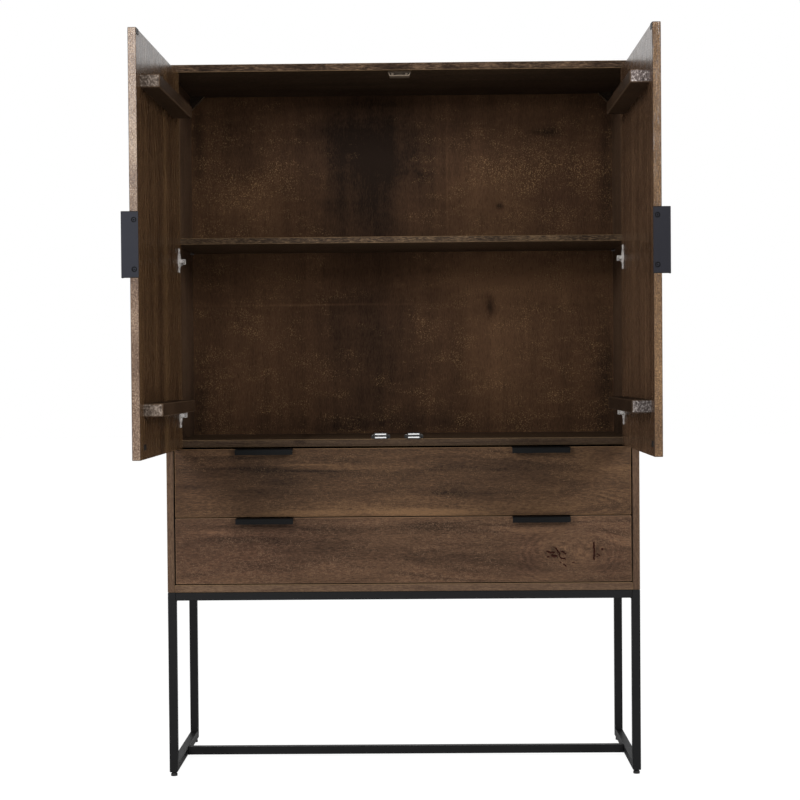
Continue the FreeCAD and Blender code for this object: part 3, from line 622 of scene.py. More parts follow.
KNOT_PIXELS = ((556, 553), (597, 551))
upper_marks = seen_marks(front_face, [
    ((258, 468), 0.09, 0.018, -0.36),
    ((288, 484), 0.09, 0.022, -0.3),
    ((200, 500), 0.06, 0.03, 0.2),
    ((196, 487), 0.045, 0.004, -0.25),
    ((315, 471), 0.13, 0.003, -0.4),
    ((300, 465), 0.09, 0.003, 0.4),
    ((348, 513), 0.16, 0.008, 0.4),
    ((430, 512), 0.11, 0.008, 0.4),
    ((440, 482), 0.2, 0.03, -0.12),
    ((510, 466), 0.17, 0.016, -0.32),
    ((545, 508), 0.1, 0.014, 0.22),
    ((478, 493), 0.12, 0.006, -0.22),
    ((612, 469), 0.05, 0.006, 0.25),
])
upper_cool = seen_marks(front_face, [((195, 485), 0.10, 0.09, 0.9)])
lower_marks = seen_marks(front_face, [
    ((450, 528), 0.12, 0.014, -0.25),
    ((420, 524), 0.08, 0.012, -0.15),
    ((536, 550), 0.01, 0.02, -0.15),
    ((320, 531), 0.11, 0.012, -0.24),
    ((530, 530), 0.09, 0.012, 0.2),
    ((405, 552), 0.18, 0.022, -0.14),
    ((400, 529), 0.17, 0.014, -0.18),
    ((556, 553), 0.02, 0.009, -0.3),
    ((596, 552), 0.008, 0.016, -0.25),
    ((575, 575), 0.1, 0.012, 0.15),
    ((540, 545), 0.09, 0.03, 0.12),
    ((213, 532), 0.06, 0.006, 0.3),
    ((335, 545), 0.06, 0.02, -0.12),
    ((557, 554), 0.02, 0.014, -0.15),
    ((597, 551), 0.01, 0.018, -0.12),
])
lower_cool = seen_marks(front_face, [
    ((215, 550), 0.24, 0.09, 0.9),
    ((528, 553), 0.035, 0.045, 0.8),
    ((614, 562), 0.04, 0.05, 0.7),
])
knots = [(seen_at(*pixel, front_face), 0.075, 0.036) for pixel in KNOT_PIXELS]
eye = seen_at(566, 505, front_face)
print(len(upper_marks) + len(lower_marks), "marks in the drawer fronts")

# %% [markdown]
# The back is a thin sheet, mottled on its inside, with a dark board left of its middle, part
# of whose darkness is painted shade. Its marks also paint shade along its sides, under the top
# and at the bottom, and paint light just under the shelf and the top. The battens' ends have
# dark blots, the gaps beside the drawer fronts get painted shade, and the divider's edge has
# one dark nick. All are ovals again, so one way serves every mark.

# %% Marks in the back and the smaller boards
back_marks_and_painted_light = seen_marks(back_face, [
    # The dark board left of the middle, part of its darkness painted shade.
    ((366, 165), 0.13, 0.26, -0.4),
    # Painted shade under the top, in the middle.
    ((396, 146), 0.32, 0.1, -0.2),
    # The dark board again, in the lower compartment, part of it painted shade.
    ((368, 350), 0.11, 0.26, -0.34),
    # Painted shade along both sides, in the corners where the back meets the side panels.
    ((199, 140), 0.02, 0.11, -0.3),
    ((199, 400), 0.022, 0.13, -0.32),
    ((606, 165), 0.022, 0.2, -0.28),
    ((607, 385), 0.022, 0.13, -0.36),
    # Painted shade at the bottom of the lower compartment.
    ((400, 426), 0.6, 0.035, -0.22),
    # Painted light just under the shelf and just under the top.
    ((300, 274), 0.3, 0.06, 0.25),
    ((530, 276), 0.28, 0.06, 0.6),
    ((215, 106), 0.08, 0.035, 0.3),
    ((530, 106), 0.13, 0.035, 0.2),
    # Knots, streaks, a pale line and soft lighter and darker patches.
    ((490, 306), 0.013, 0.024, -0.6),
    ((546, 132), 0.036, 0.012, -0.4),
    ((500, 206), 0.008, 0.007, -0.6),
    ((245, 155), 0.07, 0.1, -0.1),
    ((250, 205), 0.11, 0.06, 0.2),
    ((310, 305), 0.24, 0.003, 0.3),
    ((447, 165), 0.003, 0.2, 0.16),
    ((500, 195), 0.11, 0.09, 0.18),
    ((500, 345), 0.11, 0.2, 0.16),
])
back_cool = seen_marks(back_face, [((565, 193), 0.10, 0.13, 0.8)])
back_flecks = seen_marks(back_face, [
    ((245, 190), 0.1, 0.05, 0.2),
    ((508, 172), 0.07, 0.05, 0.2),
    ((545, 165), 0.03, 0.05, 0.2),
    ((585, 165), 0.05, 0.06, 0.15),
    ((372, 180), 0.13, 0.5, -0.22),
    ((440, 100), 0.6, 0.06, -0.08),
])
divider_marks = seen_marks(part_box("divider_panel")[0].y, [((300, 442), 0.014, 0.006, -0.9)])
end_blots = {
    "left": [((150, 82), 0.030, 0.040, 0.22), ((152, 410), 0.030, 0.040, 0.10)],
    "right": [((642, 406), 0.040, 0.040, 0.62)],
}
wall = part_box("side_panel_right")[0].x
# Painted shade on the side panels' inner faces, in the gaps beside the drawer fronts.
GAP_MIDDLE = 0.64
GAP_SHADE_BLOT = (1.2 * MM, 0.2, 1.4)
gap_shade_blots = {sign: [(Vector((sign * wall, front_face, GAP_MIDDLE)), *GAP_SHADE_BLOT)] for sign in (-1, 1)}
print(len(back_marks_and_painted_light) + len(back_cool) + len(back_flecks), "marks in the back")

# %% [markdown]
# Every board shows its own slice of a tree. So no two nodes share a wood, apart from those of
# one drawer box: each wood has its own start in the noises, which shifts its grain. It goes
# into the material slots of the CAD nodes, whose meshes stay as they are.

# %% Stain each board
def paint_node(name, material):
    """Give a CAD node its finish through the material slots of its object."""
    piece = nodes[name]
    if not piece.material_slots:
        piece.data.materials.append(material)
    for slot in piece.material_slots:
        slot.material = material


woods = {
    "drawer_front_upper": stained_wood(
        "front_wood_upper", "x", (3.1, 0.4, 0.8), upper_stain, pith=(1.52, 0.45),
        marks=upper_marks, cool_marks=upper_cool, eyes=[(eye, 0.135, 0.030, 4.0, 1, 0.14)],
        flecks=0.4, edges=[("Z", edge_gap_shade, SAWN, 0)],
    ),
    "drawer_front_lower": stained_wood(
        "front_wood_lower", "x", (7.4, 1.3, 2.2), lower_stain, pith=(2.75, 1.32),
        marks=lower_marks, cool_marks=lower_cool, knots=knots, threads=0.4,
        flecks=0.4, edges=[("Z", edge_gap_shade, SAWN, 0)],
        eyes=[(knots[0][0], 0.075, 0.055, 4.5, -1, 0.12), (knots[1][0], 0.042, 0.050, 3.5, 1, 0.10)],
    ),
    "door_panel_left": stained_wood(
        "door_wood_left", "door", (0.3, 4.1, 1.7), door_stain_left, contrast=1.7, threads=0.1, cool=0.1,
        edges=[("Y", edge_left, SAWN, 0.5)], arris_tone="dark", length=3.0, rough=0.27, shine=0.56,
    ),
    "door_panel_right": stained_wood(
        "door_wood_right", "door", (1.9, 6.2, 4.4), door_stain_right, contrast=2.0, threads=0.1, cool=0.3,
        edges=[("Y", edge_right, SAWN, 0.3)], arris_tone="dark", length=3.0, rough=0.25, shine=0.62,
    ),
    "side_panel_left": stained_wood(
        "side_wood_left", "z", (2.2, 0.1, 5.0), carcass_stain, blots=gap_shade_blots[-1]
    ),
    "side_panel_right": stained_wood(
        "side_wood_right", "z", (4.7, 2.1, 8.0), carcass_stain, blots=gap_shade_blots[1]
    ),
    "top_panel": stained_wood(
        "top_wood", "flat", (5.5, 2.6, 0.9), top_stain, edges=[("Y", edge_top, PLANED, 0.5)],
        rough=0.62, shine=0.05,
    ),
    "base_panel": stained_wood("base_wood", "flat", (6.1, 7.7, 1.9), carcass_stain),
    "divider_panel": stained_wood(
        "divider_wood", "flat", (1.3, 3.3, 4.1), shade_stain, marks=divider_marks
    ),
    "shelf": stained_wood(
        "shelf_wood", "flat", (8.8, 5.1, 2.3), shade_stain, edges=[("Y", edge_shelf, PLANED, 0.4)]
    ),
    "back_panel": stained_wood(
        "back_wood", "z", (0.7, 9.1, 3.7), back_stain, contrast=0.6, figure=0.05, threads=0.0,
        flecks=1.0, fleck_marks=back_flecks, marks=back_marks_and_painted_light, shown_to=back_face + 3 * MM,
        cool=0.15, cool_marks=back_cool, rough=0.6, shine=0.06,
    ),
    "corner_blocks": stained_wood("block_wood", "x", (2.9, 1.1, 6.0), block_shade_stain),
}
for side, shift in (("left", (3.3, 2.8, 0.6)), ("right", (6.5, 4.9, 9.2))):
    woods[f"door_battens_{side}"] = stained_wood(
        f"batten_wood_{side}", "x", shift, batten_stain, edges=[("Y", end_grain[side], END_GRAIN, 0.2)],
        blots=seen_marks(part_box(f"door_battens_{side}")[0].y, end_blots[side]), arris_share=0.3,
    )
for level, shift in (("upper", (1.2, 5.8, 3.1)), ("lower", (4.1, 8.8, 7.3))):
    box_wood = stained_wood(f"box_wood_{level}", "flat", shift, box_stain, rough=0.6)
    for board in ("sides", "back", "floor"):
        woods[f"drawer_{board}_{level}"] = box_wood
for name, material in woods.items():
    paint_node(name, material)
print(len(woods), "boards stained")


# %% [markdown]
# Steel tube and folded plate are powder coated: dry paint baked on, which flows into a skin
# with a faint orange peel and a satin shine. The hinges and slides are plated, bright and
# slightly cloudy. Moulded plastic shows a fine even grain. One plain colour would do from
# afar, but close by each coat is told by its own noise, so each has a short recipe.

# %% Powder coat, plating and plastic
PEEL_RELIEF = 0.12 * MM
BRUSH_RELIEF = 0.05 * MM
MOULD_RELIEF = 0.1 * MM


def powder_coat(name, colour, roughness, shine):
    coat = Finish(name, Specular_IOR_Level=shine)
    peel = coat.mottle((700, 700, 700))
    patch = coat.mottle((6, 6, 6), 3)
    shade = coat.blend(coat.between(patch, 0.3, 0.7, 0.0, 0.35), colour, shaded(colour, 1.5))
    rough = coat.between(peel, 0.3, 0.7, roughness - 0.05, roughness + 0.06)
    coat.set(Base_Color=shade, Roughness=rough, Normal=coat.bump(peel, PEEL_RELIEF, 0.6))
    return coat, shade


def plated(name, colour, roughness, metallic=1.0):
    metal = Finish(name, Metallic=metallic)
    cloud = metal.mottle((90, 90, 90), 4)
    brushed = metal.mottle((90, 90, 2600))
    shade = metal.blend(metal.between(cloud, 0.35, 0.7, 0.0, 0.4), colour, shaded(colour, 0.75))
    rough = metal.between(brushed, 0.3, 0.7, roughness - 0.06, roughness + 0.1)
    return metal.set(Base_Color=shade, Roughness=rough, Normal=metal.bump(brushed, BRUSH_RELIEF, 0.5))


def moulded(name, colour, roughness):
    plastic = Finish(name, Roughness=roughness)
    grain = plastic.mottle((1400, 1400, 1400))
    shade = plastic.blend(plastic.between(grain, 0.4, 0.7, 0.0, 0.3), colour, shaded(colour, 1.4))
    return plastic.set(Base_Color=shade, Normal=plastic.bump(grain, MOULD_RELIEF, 0.5))


frame_coat = powder_coat("frame_coat", tint(17, 17, 18), 0.5, 0.2)[0].material
drawer_pull_coat = powder_coat("drawer_pull_coat", tint(11, 11, 12), 0.5, 0.15)[0].material
screw_black = powder_coat("screw_black", tint(36, 37, 41), 0.36, 0.2)[0].material
nickel = plated("nickel", (0.86, 0.83, 0.80, 1), 0.34, metallic=0.55)
pin_steel = plated("pin_steel", (0.2, 0.2, 0.21, 1), 0.4)
zinc = plated("zinc", (0.6, 0.6, 0.62, 1), 0.34)
pole_steel = plated("pole_steel", (0.9, 0.9, 0.9, 1), 0.5)
black_plastic = moulded("black_plastic", tint(24, 23, 23), 0.5)
tan_plastic = moulded("tan_plastic", tint(112, 98, 82), 0.4)
print(len(bpy.data.materials), "materials so far")

# %% [markdown]
# The underframe is one coat throughout. A fitting's node stands alone, or there is one for each
# side, or one for each drawer. So three short tables name every kind once, and a loop adds
# the endings. A table is easier to check against the frame than a line for each node.

# %% Give the frame and the fittings their finish
FRAME_NODES = (
    [f"{name}_{side}" for name in ("front_leg", "rear_leg", "foot_rail", "side_rail")
     for side in ("left", "right")]
    + ["top_rail_front", "top_rail_rear", "foot_stretcher"]
)
SINGLE_NODES = {
    "glides": black_plastic, "frame_screws": screw_black, "bottom_catches": black_plastic,
    "catch_poles": pole_steel, "top_catch": tan_plastic, "hinge_plates": nickel,
    "slide_outers": zinc, "shelf_pins": pin_steel,
}
SIDE_NODES = {
    "door_pull_screws": screw_black, "strikes": black_plastic, "hinge_arms": nickel,
    "hinge_cups": nickel, "hinge_links": nickel,
}
LEVEL_NODES = {
    "drawer_pulls": drawer_pull_coat, "drawer_pull_screws": screw_black,
    "slide_inners": zinc, "slide_runners": zinc,
}
finishes = {**dict.fromkeys(FRAME_NODES, frame_coat), **SINGLE_NODES}
for table, ends in ((SIDE_NODES, ("left", "right")), (LEVEL_NODES, ("upper", "lower"))):
    finishes |= {f"{name}_{end}": material for name, material in table.items() for end in ends}
for name, material in finishes.items():
    paint_node(name, material)
bare = sorted(set(nodes) - set(woods) - set(finishes))
print(len(finishes), "pieces of metal and plastic finished; coated with their screws:", bare)


# %% [markdown]
# Screws, beads and balls are all one shape many times over, so each is a Geometry Nodes tree
# with its sizes as named inputs. The tree runs on a plan, which is a mesh of bare points or
# edges. Its result is taken as a plain mesh, one for each body that the pieces ride on.

# %% A helper for Geometry Nodes trees
def plain_mesh(item):
    """An object's mesh with its modifiers worked in. The object goes."""
    depsgraph = bpy.context.evaluated_depsgraph_get()
    mesh = bpy.data.meshes.new_from_object(item.evaluated_get(depsgraph), depsgraph=depsgraph)
    bpy.data.objects.remove(item)
    return mesh


class Recipe(Graph):
    """A Geometry Nodes tree that turns a plan into finished pieces."""

    family = "GeometryNode"

    def __init__(self, name, **sizes):
        self.tree = bpy.data.node_groups.new(name, "GeometryNodeTree")
        face = self.tree.interface
        face.new_socket("Geometry", in_out="OUTPUT", socket_type="NodeSocketGeometry")
        face.new_socket("Plan", in_out="INPUT", socket_type="NodeSocketGeometry")
        self.keys = {}
        for size, value in sizes.items():
            socket = face.new_socket(size, in_out="INPUT", socket_type="NodeSocketFloat")
            socket.default_value = value
            self.keys[size] = socket.identifier
        finish = face.new_socket("Finish", in_out="INPUT", socket_type="NodeSocketMaterial")
        self.keys["Finish"] = finish.identifier
        self.given = self.tree.nodes.new("NodeGroupInput").outputs

    def attribute(self, name, kind):
        node = self.tree.nodes.new("GeometryNodeInputNamedAttribute")
        node.data_type = kind
        node.inputs["Name"].default_value = name
        return next(out for out in node.outputs if out.enabled and out.name == "Attribute")

    def turned(self):
        """The turn from straight up to the way stored in each point."""
        way = self.attribute("axis", "FLOAT_VECTOR")
        return self.add("FunctionNodeAlignRotationToVector", {"Vector": way})

    def scale(self, vector, factor):
        return self.add("ShaderNodeVectorMath", {0: vector, "Scale": factor}, operation="SCALE")

    def merge(self, *parts):
        node = self.tree.nodes.new("GeometryNodeJoinGeometry")
        for piece in parts:
            self.tree.links.new(piece, node.inputs[0])
        return node.outputs[0]

    def close(self, geometry):
        real = self.add("RealizeInstances", {0: geometry})
        finished = self.add("SetMaterial", {"Geometry": real, "Material": self.given["Finish"]})
        self.fill(self.tree.nodes.new("NodeGroupOutput").inputs["Geometry"], finished)

    def make(self, name, plan, body, slot, finish, **sizes):
        """Run the tree on a plan, and keep the result as one plain piece of one body."""
        carrier = add_object(f"{name}_plan", plan)
        modifier = carrier.modifiers.new("recipe", "NODES")
        modifier.node_group = self.tree
        for size, value in {**sizes, "Finish": finish}.items():
            modifier[self.keys[size]] = value
        made = plain_mesh(carrier)
        made.name = name
        piece = add_object(name, made)
        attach(piece, body)
        print(name, "has", len(made.polygons), "faces")
        return piece


print("a recipe's own nodes are named", Recipe.family, "and their kind")

# %% [markdown]
# A plan says where things go and nothing of how they look. For screws and nails it is bare
# points, which also store the way that a head looks and a turn, because nobody stops every
# screw at the same turn. For beads and balls it is bare edges.

# %% Plans of bare points and bare edges
def plan_of_points(name, places):
    """Bare points, each with the way that its screw looks and a turn about that way."""
    plan = bpy.data.meshes.new(name)
    plan.from_pydata([place for place, _ in places], [], [])
    plan.attributes.new("axis", "FLOAT_VECTOR", "POINT")
    plan.attributes.new("turn", "FLOAT", "POINT")
    chance = random.Random(name)
    for index, (_, way) in enumerate(places):
        plan.attributes["axis"].data[index].vector = way
        plan.attributes["turn"].data[index].value = chance.uniform(0, math.pi)
    return plan


def plan_of_lines(name, lines):
    """Bare edges, one after another, between pairs of places."""
    points = [point for line in lines for point in line]
    plan = bpy.data.meshes.new(name)
    plan.from_pydata(points, [(index, index + 1) for index in range(0, len(points), 2)], [])
    return plan


print("points store the attributes axis and turn")

# %% [markdown]
# A cross-head screw starts as a sphere whose lower half is pressed flat and whose upper half
# is a low dome. Two crossed bars are cut out of it, and a shank with a ribbed thread hangs
# below. It is made once, upright at the origin, and put on every point of the plan.

# %% The tree of the cross-head screw
THREAD_PITCH = 2 * MM
THREAD_DEPTH = 0.1


def screw_head(recipe):
    """A dome with a flat underside, and a cross cut into it."""
    width = recipe.given["Head_Width"]
    tall = recipe.given["Head_Height"]
    ball = recipe.add("MeshUVSphere", {"Segments": 24, "Rings": 12, "Radius": 0.5})
    x, y, z = recipe.split(recipe.add("InputPosition", {}))
    above = recipe.times(recipe.maths("MAXIMUM", z, 0.0), 2.0)
    dome = recipe.join(recipe.times(x, width), recipe.times(y, width), recipe.times(above, tall))
    head = recipe.add("SetPosition", {"Geometry": ball, "Position": dome})
    long = recipe.times(width, 0.56)
    thin = recipe.times(width, 0.2)
    deep = recipe.times(tall, 1.8)
    cut = recipe.tree.nodes.new("GeometryNodeMeshBoolean")
    cut.operation = "DIFFERENCE"
    cut.solver = "EXACT"
    recipe.fill(cut.inputs["Mesh 1"], head)
    for sizes in ((long, thin), (thin, long)):
        bar = recipe.add("MeshCube", {"Size": recipe.join(*sizes, deep)})
        lifted = {"Geometry": bar, "Translation": recipe.join(0.0, 0.0, tall)}
        recipe.tree.links.new(recipe.add("Transform", lifted), cut.inputs["Mesh 2"])
    return cut.outputs[0]


def screw_shank(recipe):
    """A rod below the head, whose radius swells and shrinks along it as a thread does."""
    length = recipe.given["Shank_Length"]
    half = recipe.times(recipe.given["Shank_Width"], 0.5)
    sizes = {"Vertices": 10, "Side Segments": 16, "Radius": half, "Depth": length}
    rod = recipe.add("MeshCylinder", sizes)
    place = recipe.add("InputPosition", {})
    height = recipe.split(place)[2]
    turn_by_turn = recipe.maths("SINE", recipe.times(height, 2 * math.pi / THREAD_PITCH))
    rib = recipe.times_plus(turn_by_turn, THREAD_DEPTH, 1 - THREAD_DEPTH)
    swell = recipe.stretch(place, recipe.join(rib, rib, 1.0))
    ribbed = recipe.add("SetPosition", {"Geometry": rod, "Position": swell})
    down = recipe.join(0.0, 0.0, recipe.times(length, -0.5))
    return recipe.add("Transform", {"Geometry": ribbed, "Translation": down})


def screw_recipe():
    sizes = {"Head_Width": 7 * MM, "Head_Height": 1 * MM, "Shank_Width": 3 * MM, "Shank_Length": 12 * MM}
    recipe = Recipe("cross_screw", **sizes)
    pattern = recipe.merge(screw_head(recipe), screw_shank(recipe))
    angle = {"Angle": recipe.attribute("turn", "FLOAT")}
    turn = {0: recipe.turned(), 1: recipe.add("FunctionNodeAxisAngleToRotation", angle)}
    turned = recipe.add("FunctionNodeRotateRotation", turn, rotation_space="LOCAL")
    placed = {"Points": recipe.given["Plan"], "Instance": pattern, "Rotation": turned}
    recipe.close(recipe.add("InstanceOnPoints", placed))
    return recipe


cross_screw = screw_recipe()
print("screw tree with inputs", sorted(cross_screw.keys))

# %% [markdown]
# A door's pieces are easiest to place in the door's own frame: u runs along the door from its
# hinge axis to the free edge, v runs from the outer face inwards, and z stays upright. The
# joint in the record gives the axis and how far the door is open, so nothing is typed twice.

# %% Places on a door
SIDE_SIGN = {"left": -1, "right": 1}
door_joint = {side: next(j for j in frame["joints"] if j["child"] == f"door_{side}") for side in SIDE_SIGN}
door_low, door_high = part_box("door_panel_right")
DOOR_MIDDLE = (door_low.z + door_high.z) / 2
DOOR_FREE = door_joint["right"]["pos_m"][1] - door_low.y
DOOR_INNER = 17 * MM
HINGE_SPREAD = 374.5 * MM


def way_on_door(side, along, inward):
    """A direction of the door's own frame, turned as the door stands open."""
    turn = math.radians(door_joint[side]["range_deg"][0])
    x = along * math.cos(turn) - inward * math.sin(turn)
    y = along * math.sin(turn) + inward * math.cos(turn)
    return Vector((-SIDE_SIGN[side] * x, y, 0))


def on_door(side, u, v, z):
    axis = Vector(door_joint[side]["pos_m"])
    return Vector((axis.x, axis.y, z)) + way_on_door(side, u, v)


hinge_heights = [DOOR_MIDDLE + step * HINGE_SPREAD for step in (-1, 0, 1)]
print("doors reach", round(DOOR_FREE / MM, 1), "mm from their hinge axes")

# %% [markdown]
# A door pull is steel plate, folded round the door's free edge, and two screws hold it. They
# are sunk in the plate, so a dark ring shows round each head, and the recess of the cross is
# dark too. The studio's light is too soft to shade such narrow sinks, so masks in the powder
# coat paint that shade where the heads sit, and paint shade along the plate's upper and lower
# edges, where they round over. Each side's pull is painted its own tone for the light on it.

# %% The coats of the door pulls
PULL_SCREW_SPREAD = 52 * MM
PULL_SCREW_V = 8 * MM
PULL_SINK = 1.25 * MM
SCREW_WORDS = ("Head_Width", "Head_Height", "Shank_Width", "Shank_Length")
PULL_SCREW, SMALL_SCREW, FLAT_SCREW = (
    {word: size * MM for word, size in zip(SCREW_WORDS, sizes)}
    for sizes in ((6.9, 1.0, 3.8, 14), (5.4, 0.9, 2.8, 10), (5.0, 0.3, 2.6, 10))
)
RING_WIDTH = 3.0 * MM
RIM_SHADE_WIDTH = 1.8 * MM
RING_OUT = PULL_SCREW["Head_Width"] / 2 + 1 * MM
RECESS_SHADE = 4.4 * MM
# Near black for the painted shade in the screws' sinks and along the pull's edges.
PAINTED_SHADE_COLOUR = tint(7, 7, 8)
PULL_GLOSS = (0.42, 0.08)
# Each door pull's colour is painted for the light that falls on it: lighter than the frame's black, and a
# different tone on each side.
PULL_COLOUR_AS_LIT = {"left": tint(41, 42, 48), "right": tint(35, 35, 40)}


def paint_shade_round_heads(coat, shade, heads, radius, width, dark=0.0):
    """Paint shade into a coat: dark rings, or dots if the radius is 0, at the places of screw heads."""
    x, _, z = coat.split(coat.place)
    for head in heads:
        dx = coat.minus(x, head.x)
        dz = coat.minus(z, head.z)
        distance = coat.maths("SQRT", coat.times_plus(dx, dx, coat.times(dz, dz)))
        off_ring = coat.maths("ABSOLUTE", coat.minus(distance, radius))
        dark = coat.maths("MAXIMUM", dark, coat.between(off_ring, width * 0.4, width / 2, 1.0, 0.0))
    return coat.set(Base_Color=coat.blend(dark, shade, PAINTED_SHADE_COLOUR))


def pull_finish(side, heads):
    """Powder coat with painted shade: a dark ring round each screw head, and along its upper and lower
    edges.
    """
    coat, shade = powder_coat(f"pull_coat_{side}", PULL_COLOUR_AS_LIT[side], *PULL_GLOSS)
    low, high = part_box(f"door_pull_{side}")
    z = coat.split(coat.place)[2]
    off_middle = coat.maths("ABSOLUTE", coat.minus(z, (low.z + high.z) / 2))
    half = (high.z - low.z) / 2
    # Painted shade along the plate's upper and lower edges, where they round over.
    rim_shade = coat.between(off_middle, half - RIM_SHADE_WIDTH, half - RIM_SHADE_WIDTH / 2)
    return paint_shade_round_heads(coat, shade, heads, RING_OUT, RING_WIDTH, rim_shade)


pull_heads = {
    side: [
        on_door(side, DOOR_FREE - PULL_SINK, PULL_SCREW_V, DOOR_MIDDLE + step * PULL_SCREW_SPREAD)
        for step in (-1, 1)
    ]
    for side in SIDE_SIGN
}
for side, heads in pull_heads.items():
    paint_node(f"door_pull_{side}", pull_finish(side, heads))
print("rings", round(2 * RING_OUT / MM, 1), "mm across round the heads")

# %% [markdown]
# A door carries screws of three kinds: those of its pull, which stand in for the plain heads
# of the frame, those of the hinge cups' wings, and flat ones in the strikes of its catches.
# They differ in size alone, so one tree makes all of them, with other inputs.

# %% Screws in the doors
CUP_SCREW_U = 22 * MM
CUP_SCREW_V = DOOR_INNER + 1.2 * MM
CUP_SCREW_RISE = 24.5 * MM
STRIKE_THICK = 1 * MM
STRIKE_SCREW_DROP = 6 * MM
HALF_DOOR_GAP = 1.5 * MM
# How much paler the pull screws' heads are painted: a painted highlight on their domes.
HEAD_PAINTED_HIGHLIGHT = 1.6
catch_places = {"left": -53 * MM, "right": 28 * MM}
pole_low, pole_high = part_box("catch_poles")
low_strike_z = (pole_low.z + pole_high.z) / 2
high_strike_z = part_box("strikes_left")[1].z - STRIKE_SCREW_DROP
high_strike_u = 538 * MM

for side, heads in pull_heads.items():
    outward = way_on_door(side, 1, 0)
    inward = way_on_door(side, 0, 1)
    # The pull screws' heads are painted paler than their plate, a painted highlight on their domes, and
    # their recess gets a dot of painted shade.
    colour = shaded(PULL_COLOUR_AS_LIT[side], HEAD_PAINTED_HIGHLIGHT)
    coat, shade = powder_coat(f"pull_screw_coat_{side}", colour, *PULL_GLOSS)
    head_coat = paint_shade_round_heads(coat, shade, heads, 0.0, RECESS_SHADE)
    plan = plan_of_points(f"pull_spots_{side}", [(head, outward) for head in heads])
    name = f"door_pull_cross_screws_{side}"
    piece = cross_screw.make(name, plan, f"door_{side}", "black_screw", head_coat, **PULL_SCREW)
    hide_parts(f"door_pull_screws_{side}")
    spots = [
        (on_door(side, CUP_SCREW_U, CUP_SCREW_V, height + step * CUP_SCREW_RISE), inward)
        for height in hinge_heights for step in (-1, 1)
    ]
    plan = plan_of_points(f"cup_spots_{side}", spots)
    name = f"hinge_cup_screws_{side}"
    cross_screw.make(name, plan, f"door_{side}", "plated_steel", nickel, **SMALL_SCREW)
    middle = DOOR_FREE + HALF_DOOR_GAP
    spots = [
        (on_door(side, middle - abs(catch_places[side]), DOOR_INNER + STRIKE_THICK, low_strike_z), inward),
        (on_door(side, high_strike_u, DOOR_INNER + STRIKE_THICK, high_strike_z), inward),
    ]
    plan = plan_of_points(f"strike_spots_{side}", spots)
    name = f"strike_screws_{side}"
    cross_screw.make(name, plan, f"door_{side}", "black_screw", screw_black, **FLAT_SCREW)

# %% [markdown]
# Each drawer has two pulls, hooked over the front's upper edge, and each pull has two screws
# down into the wood. Six more hold the inner slide members to the box. All of them ride on
# the drawer, so that they travel with it, and the recipe is the doors' own.

# %% Screws on the drawers
DRAWER_PULL_X = 336 * MM
SLIDE_SCREW_Y = (-140 * MM, -23 * MM, 94 * MM)
INNER_SLIDE_FACE = wall - 11.8 * MM
slide_heights = {"lower": 545.5 * MM, "upper": 708 * MM}
for level in ("lower", "upper"):
    low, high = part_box(f"drawer_pull_screws_{level}")
    middle_y = (low.y + high.y) / 2
    sunk_z = high.z - PULL_SINK
    spots = [
        (Vector((side * DRAWER_PULL_X + step * PULL_SCREW_SPREAD, middle_y, sunk_z)), Vector((0, 0, 1)))
        for side in (-1, 1) for step in (-1, 1)
    ]
    plan = plan_of_points(f"drawer_pull_spots_{level}", spots)
    name = f"drawer_pull_cross_screws_{level}"
    piece = cross_screw.make(name, plan, f"drawer_{level}", "black_screw", screw_black, **PULL_SCREW)
    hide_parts(f"drawer_pull_screws_{level}")
    spots = [
        (Vector((side * INNER_SLIDE_FACE, y, slide_heights[level])), Vector((side, 0, 0)))
        for side in (-1, 1) for y in SLIDE_SCREW_Y
    ]
    plan = plan_of_points(f"inner_slide_spots_{level}", spots)
    name = f"slide_inner_screws_{level}"
    cross_screw.make(name, plan, f"drawer_{level}", "plated_steel", zinc, **SMALL_SCREW)

# %% [markdown]
# What stays still is screwed to the carcass: the hinges' plates and arms, the two catches on
# the divider and the outer slide members. Their places are few and known, so lists of them
# are plainer than a rule, and one plan holds them all because they ride on one body.

# %% Screws in the carcass
PLATE_RISE = 18 * MM
CATCH_EAR_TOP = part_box("divider_panel")[1].z + 9 * MM
CATCH_EAR = 19 * MM
CATCH_SCREW_Y = -160 * MM
SLIDE_SCREW_STEP = 8 * MM
OUTER_SLIDE_FACE = wall - 1.2 * MM
HINGE_PLATE_FACE = wall - 2 * MM
HINGE_PLATE_Y = -132 * MM
HINGE_ARM_FACE = wall - 15 * MM
HINGE_ARM_Y = (-134 * MM, -118 * MM)

fixed_spots = []
for side, sign in SIDE_SIGN.items():
    inward = Vector((-sign, 0, 0))
    for height in hinge_heights:
        for step in (-1, 1):
            place = Vector((sign * HINGE_PLATE_FACE, HINGE_PLATE_Y, height + step * PLATE_RISE))
            fixed_spots.append((place, inward))
        for y in HINGE_ARM_Y:
            fixed_spots.append((Vector((sign * HINGE_ARM_FACE, y, height)), inward))
    for ear in (-1, 1):
        place = Vector((catch_places[side] + ear * CATCH_EAR, CATCH_SCREW_Y, CATCH_EAR_TOP))
        fixed_spots.append((place, Vector((0, 0, 1))))
    for height in slide_heights.values():
        for y in SLIDE_SCREW_Y:
            place = Vector((sign * OUTER_SLIDE_FACE, y + SLIDE_SCREW_STEP, height))
            fixed_spots.append((place, inward))
plan = plan_of_points("fixed_spots", fixed_spots)
cross_screw.make("fitting_screws", plan, "carcass", "plated_steel", nickel, **SMALL_SCREW)

# %% [markdown]
# The thin back is nailed on all round. A nail head could be a dome like a screw's, but a low
# cone with its top pressed a little narrower has far fewer faces, and there are dozens of
# nails. They sit at even steps round the rim, so a rule places them.

# %% Nails round the back
NAIL_WIDTH = 5 * MM
NAIL_HEIGHT = 0.8 * MM
NAIL_STEP = 105 * MM
NAIL_EDGE = 9 * MM
NAIL_TOP = 0.7


